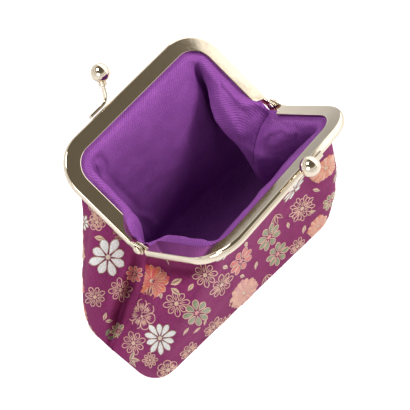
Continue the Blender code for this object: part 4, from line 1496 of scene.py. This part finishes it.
def hinge_rivet(side, name, material):
    """A domed rivet through both ears, with a small dimple in its outer head."""
    low = HALF_WIDTH - EAR_INSET - 2 * EAR_THICKNESS - EAR_GAP - 0.2
    high = HALF_WIDTH + 0.2
    middle = (low + high) / 2
    reach = high - middle
    profile = [(0.001, reach + RIVET_HEAD_HEIGHT * 0.8), (0.35, reach + RIVET_HEAD_HEIGHT * 0.85)]
    for step in range(3, 13):
        angle = math.radians(90) * step / 12
        profile.append((RIVET_HEAD_RADIUS * math.sin(angle),
                        reach + RIVET_HEAD_HEIGHT * math.cos(angle)))
    profile += [(RIVET_RADIUS, reach), (RIVET_RADIUS, -reach)]
    for step in range(12, -1, -1):
        angle = math.radians(90) * step / 12
        profile.append((max(0.001, RIVET_HEAD_RADIUS * math.sin(angle)),
                        -reach - RIVET_HEAD_HEIGHT * math.cos(angle)))
    centre = (side * middle, 0, HINGE_HEIGHT)
    return turned_piece(name, profile, centre, (side, 0, 0), material)


# Studio
FLOOR_GLOW = 0.8
FLOOR_DROP = 0.0002

# The room by height, from level with the eye at 0 to overhead at 1, as the metal mirrors it
ROOM_STOPS = ((0.0, (1, 1, 1)), (0.20, (1, 1, 1)), (0.25, (0.22, 0.19, 0.15)),
              (0.30, (0.22, 0.19, 0.15)), (0.35, (1, 1, 1)), (0.45, (0.95, 0.92, 0.88)),
              (0.56, (0.55, 0.5, 0.44)), (0.7, (0.17, 0.15, 0.115)), (1.0, (0.11, 0.10, 0.075)))

# A bright card on the +X side of the room, and the light that reaches the cloth
CARD_EDGE = (0.517, 0.527)
CARD_COLOUR = (1.7, 1.66, 1.6)
ROOM_ON_CLOTH = (0.25, 0.25, 0.26)


def floor_and_world():
    """A white floor, and a room with a dark band, a dark ceiling and a bright card."""
    size = 3.0
    verts = [(-size, -size, 0), (size, -size, 0), (size, size, 0), (-size, size, 0)]
    material, shader = shader_of("studio_floor", (0.93, 0.93, 0.93), 0.9)
    shader.inputs["Emission Color"].default_value = (1.0, 1.0, 1.0, 1.0)
    seen = node(material, "ShaderNodeLightPath")
    glow = node(material, "ShaderNodeMath", operation="MULTIPLY")
    glow.inputs[1].default_value = FLOOR_GLOW
    join(material, (seen.outputs["Is Camera Ray"], glow.inputs[0]),
         (glow.outputs[0], shader.inputs["Emission Strength"]))
    floor = mesh_piece("floor", verts, [(0, 1, 2, 3)], material)
    floor.location.z = -FLOOR_DROP

    world = bpy.context.scene.world or bpy.data.worlds.new("studio")
    bpy.context.scene.world = world
    world.use_nodes = True
    nodes = world.node_tree.nodes
    links = world.node_tree.links
    nodes.clear()
    out = nodes.new("ShaderNodeOutputWorld")
    background = nodes.new("ShaderNodeBackground")
    background.inputs["Strength"].default_value = 1.0
    spot = nodes.new("ShaderNodeTexCoord")
    axes = nodes.new("ShaderNodeSeparateXYZ")
    rise = nodes.new("ShaderNodeValToRGB")
    ramp = rise.color_ramp
    for index, (position, colour) in enumerate(ROOM_STOPS):
        stop = ramp.elements[index] if index < 2 else ramp.elements.new(position)
        stop.position = position
        stop.color = (*colour, 1)
    side = nodes.new("ShaderNodeMapRange")
    side.inputs["From Min"].default_value = CARD_EDGE[0]
    side.inputs["From Max"].default_value = CARD_EDGE[1]
    card = nodes.new("ShaderNodeMix")
    card.data_type = "RGBA"
    card.inputs["B"].default_value = (*CARD_COLOUR, 1)
    rays = nodes.new("ShaderNodeLightPath")
    for_eye = nodes.new("ShaderNodeMix")
    for_eye.data_type = "RGBA"
    for_eye.inputs["B"].default_value = (1, 1, 1, 1)
    for_cloth = nodes.new("ShaderNodeMix")
    for_cloth.data_type = "RGBA"
    for_cloth.inputs["B"].default_value = (*ROOM_ON_CLOTH, 1)
    links.new(spot.outputs["Generated"], axes.inputs[0])
    links.new(axes.outputs["Z"], rise.inputs["Fac"])
    links.new(axes.outputs["X"], side.inputs["Value"])
    links.new(side.outputs["Result"], card.inputs["Factor"])
    links.new(rise.outputs["Color"], card.inputs["A"])
    links.new(rays.outputs["Is Diffuse Ray"], for_cloth.inputs["Factor"])
    links.new(card.outputs["Result"], for_cloth.inputs["A"])
    links.new(for_cloth.outputs["Result"], for_eye.inputs["A"])
    links.new(rays.outputs["Is Camera Ray"], for_eye.inputs["Factor"])
    links.new(for_eye.outputs["Result"], background.inputs["Color"])
    links.new(background.outputs[0], out.inputs[0])


def softbox(name, place_at, size, energy, mirrored):
    """A square area lamp that looks at the purse, and that its metal may mirror."""
    data = bpy.data.lights.new(name, "AREA")
    data.shape = "SQUARE"
    data.size = size
    data.energy = energy
    lamp = bpy.data.objects.new(name, data)
    bpy.context.scene.collection.objects.link(lamp)
    lamp.location = place_at
    aim = Vector((0, 0, 0.05)) - Vector(place_at)
    lamp.rotation_euler = aim.to_track_quat("-Z", "Y").to_euler()
    lamp.visible_glossy = mirrored


def camera():
    """The camera that the photograph was taken from."""
    data = bpy.data.cameras.new("camera")
    data.sensor_width = SENSOR_WIDTH
    data.lens = LENS
    data.clip_end = 20.0
    eye_obj = bpy.data.objects.new("camera", data)
    bpy.context.scene.collection.objects.link(eye_obj)
    eye, right, up, ahead = camera_axes()
    eye_obj.location = Vector(eye) * MM
    eye_obj.rotation_euler = Matrix((right, up, -ahead)).transposed().to_euler()
    bpy.context.scene.camera = eye_obj


def studio():
    """The camera, the room and three lamps."""
    camera()
    floor_and_world()
    softbox("key", (0.55, -0.55, 0.75), size=0.4, energy=7.4, mirrored=False)
    softbox("over", (-0.25, 0.40, 0.95), size=0.4, energy=4.4, mirrored=True)
    softbox("fill", (-0.80, -0.20, 0.55), size=0.45, energy=2.2, mirrored=True)
    bpy.context.scene.view_settings.view_transform = "Standard"


def build():
    """Every piece of the purse with its material; the frame's pieces, the seam allowances and the
    rivets ride on their bodies.
    """
    gold = polished_gold()
    brocade = woven("brocade_ground", (0.14, 0.008, 0.062), (0.38, 0.050, 0.20), roughness=0.65,
                    rib=0.0005, turn=62, relief=0.0001, sheen=0.02, speckle=1.3)
    twill = woven("lining_twill", (0.15, 0.030, 0.20), (0.44, 0.135, 0.525), roughness=0.75,
                  rib=0.00085, turn=-49, relief=0.0003, sheen=0.06, speckle=0.8)
    thread = thread_material()
    paper = paper_material()
    for name in ("back_paper_cord", "front_paper_cord"):
        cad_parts[name].data.materials.clear()
        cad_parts[name].data.materials.append(paper)

    panels = {}
    cloths = {}
    linings = {}
    inner = {}
    for half in HALVES:
        cloths[half], panels[half] = cloth_panel(half + "_brocade", half, False, brocade)
        linings[half], inner[half] = cloth_panel(half + "_lining", half, True, twill)
    trees = cloth_trees(panels)
    spots = seen_spots(trees)
    spots += hidden_spots(panels, spots, trees)
    tree_parts = laying_tree(thread)
    motifs = {half: woven_pattern(half + "_woven_flowers", half, spots, cloths[half], tree_parts,
                                  thread) for half in HALVES}

    for half in HALVES:
        body = half + "_frame"
        for piece, node_name in ((cloths[half], f"outer_{half}_panel"),
                                 (linings[half], f"lining_{half}_panel")):
            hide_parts(node_name)
            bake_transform(piece)
        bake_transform(motifs[half])
        for piece, node_name in ((frame_channel(half, gold), body + "_channel"),
                                 (clasp_ball(half, gold), half + "_clasp_ball"),
                                 (clasp_post(half, gold), half + "_clasp_post")):
            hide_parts(node_name)
            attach(piece, body)
    sewing = stitch_material()
    stitches = seam_stitches("lining_stitches", inner["back"], stitch_tree(sewing), sewing)
    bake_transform(stitches)
    for side, end in ((-1, "near"), (1, "far")):
        allowance = seam_allowance(end + "_seam_allowance", side, panels, brocade)
        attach(allowance, "pouch")
        rivet = hinge_rivet(side, end + "_rivet_visual", gold)
        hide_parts(end + "_hinge_rivet")
        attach(rivet, "back_frame")


build()
studio()
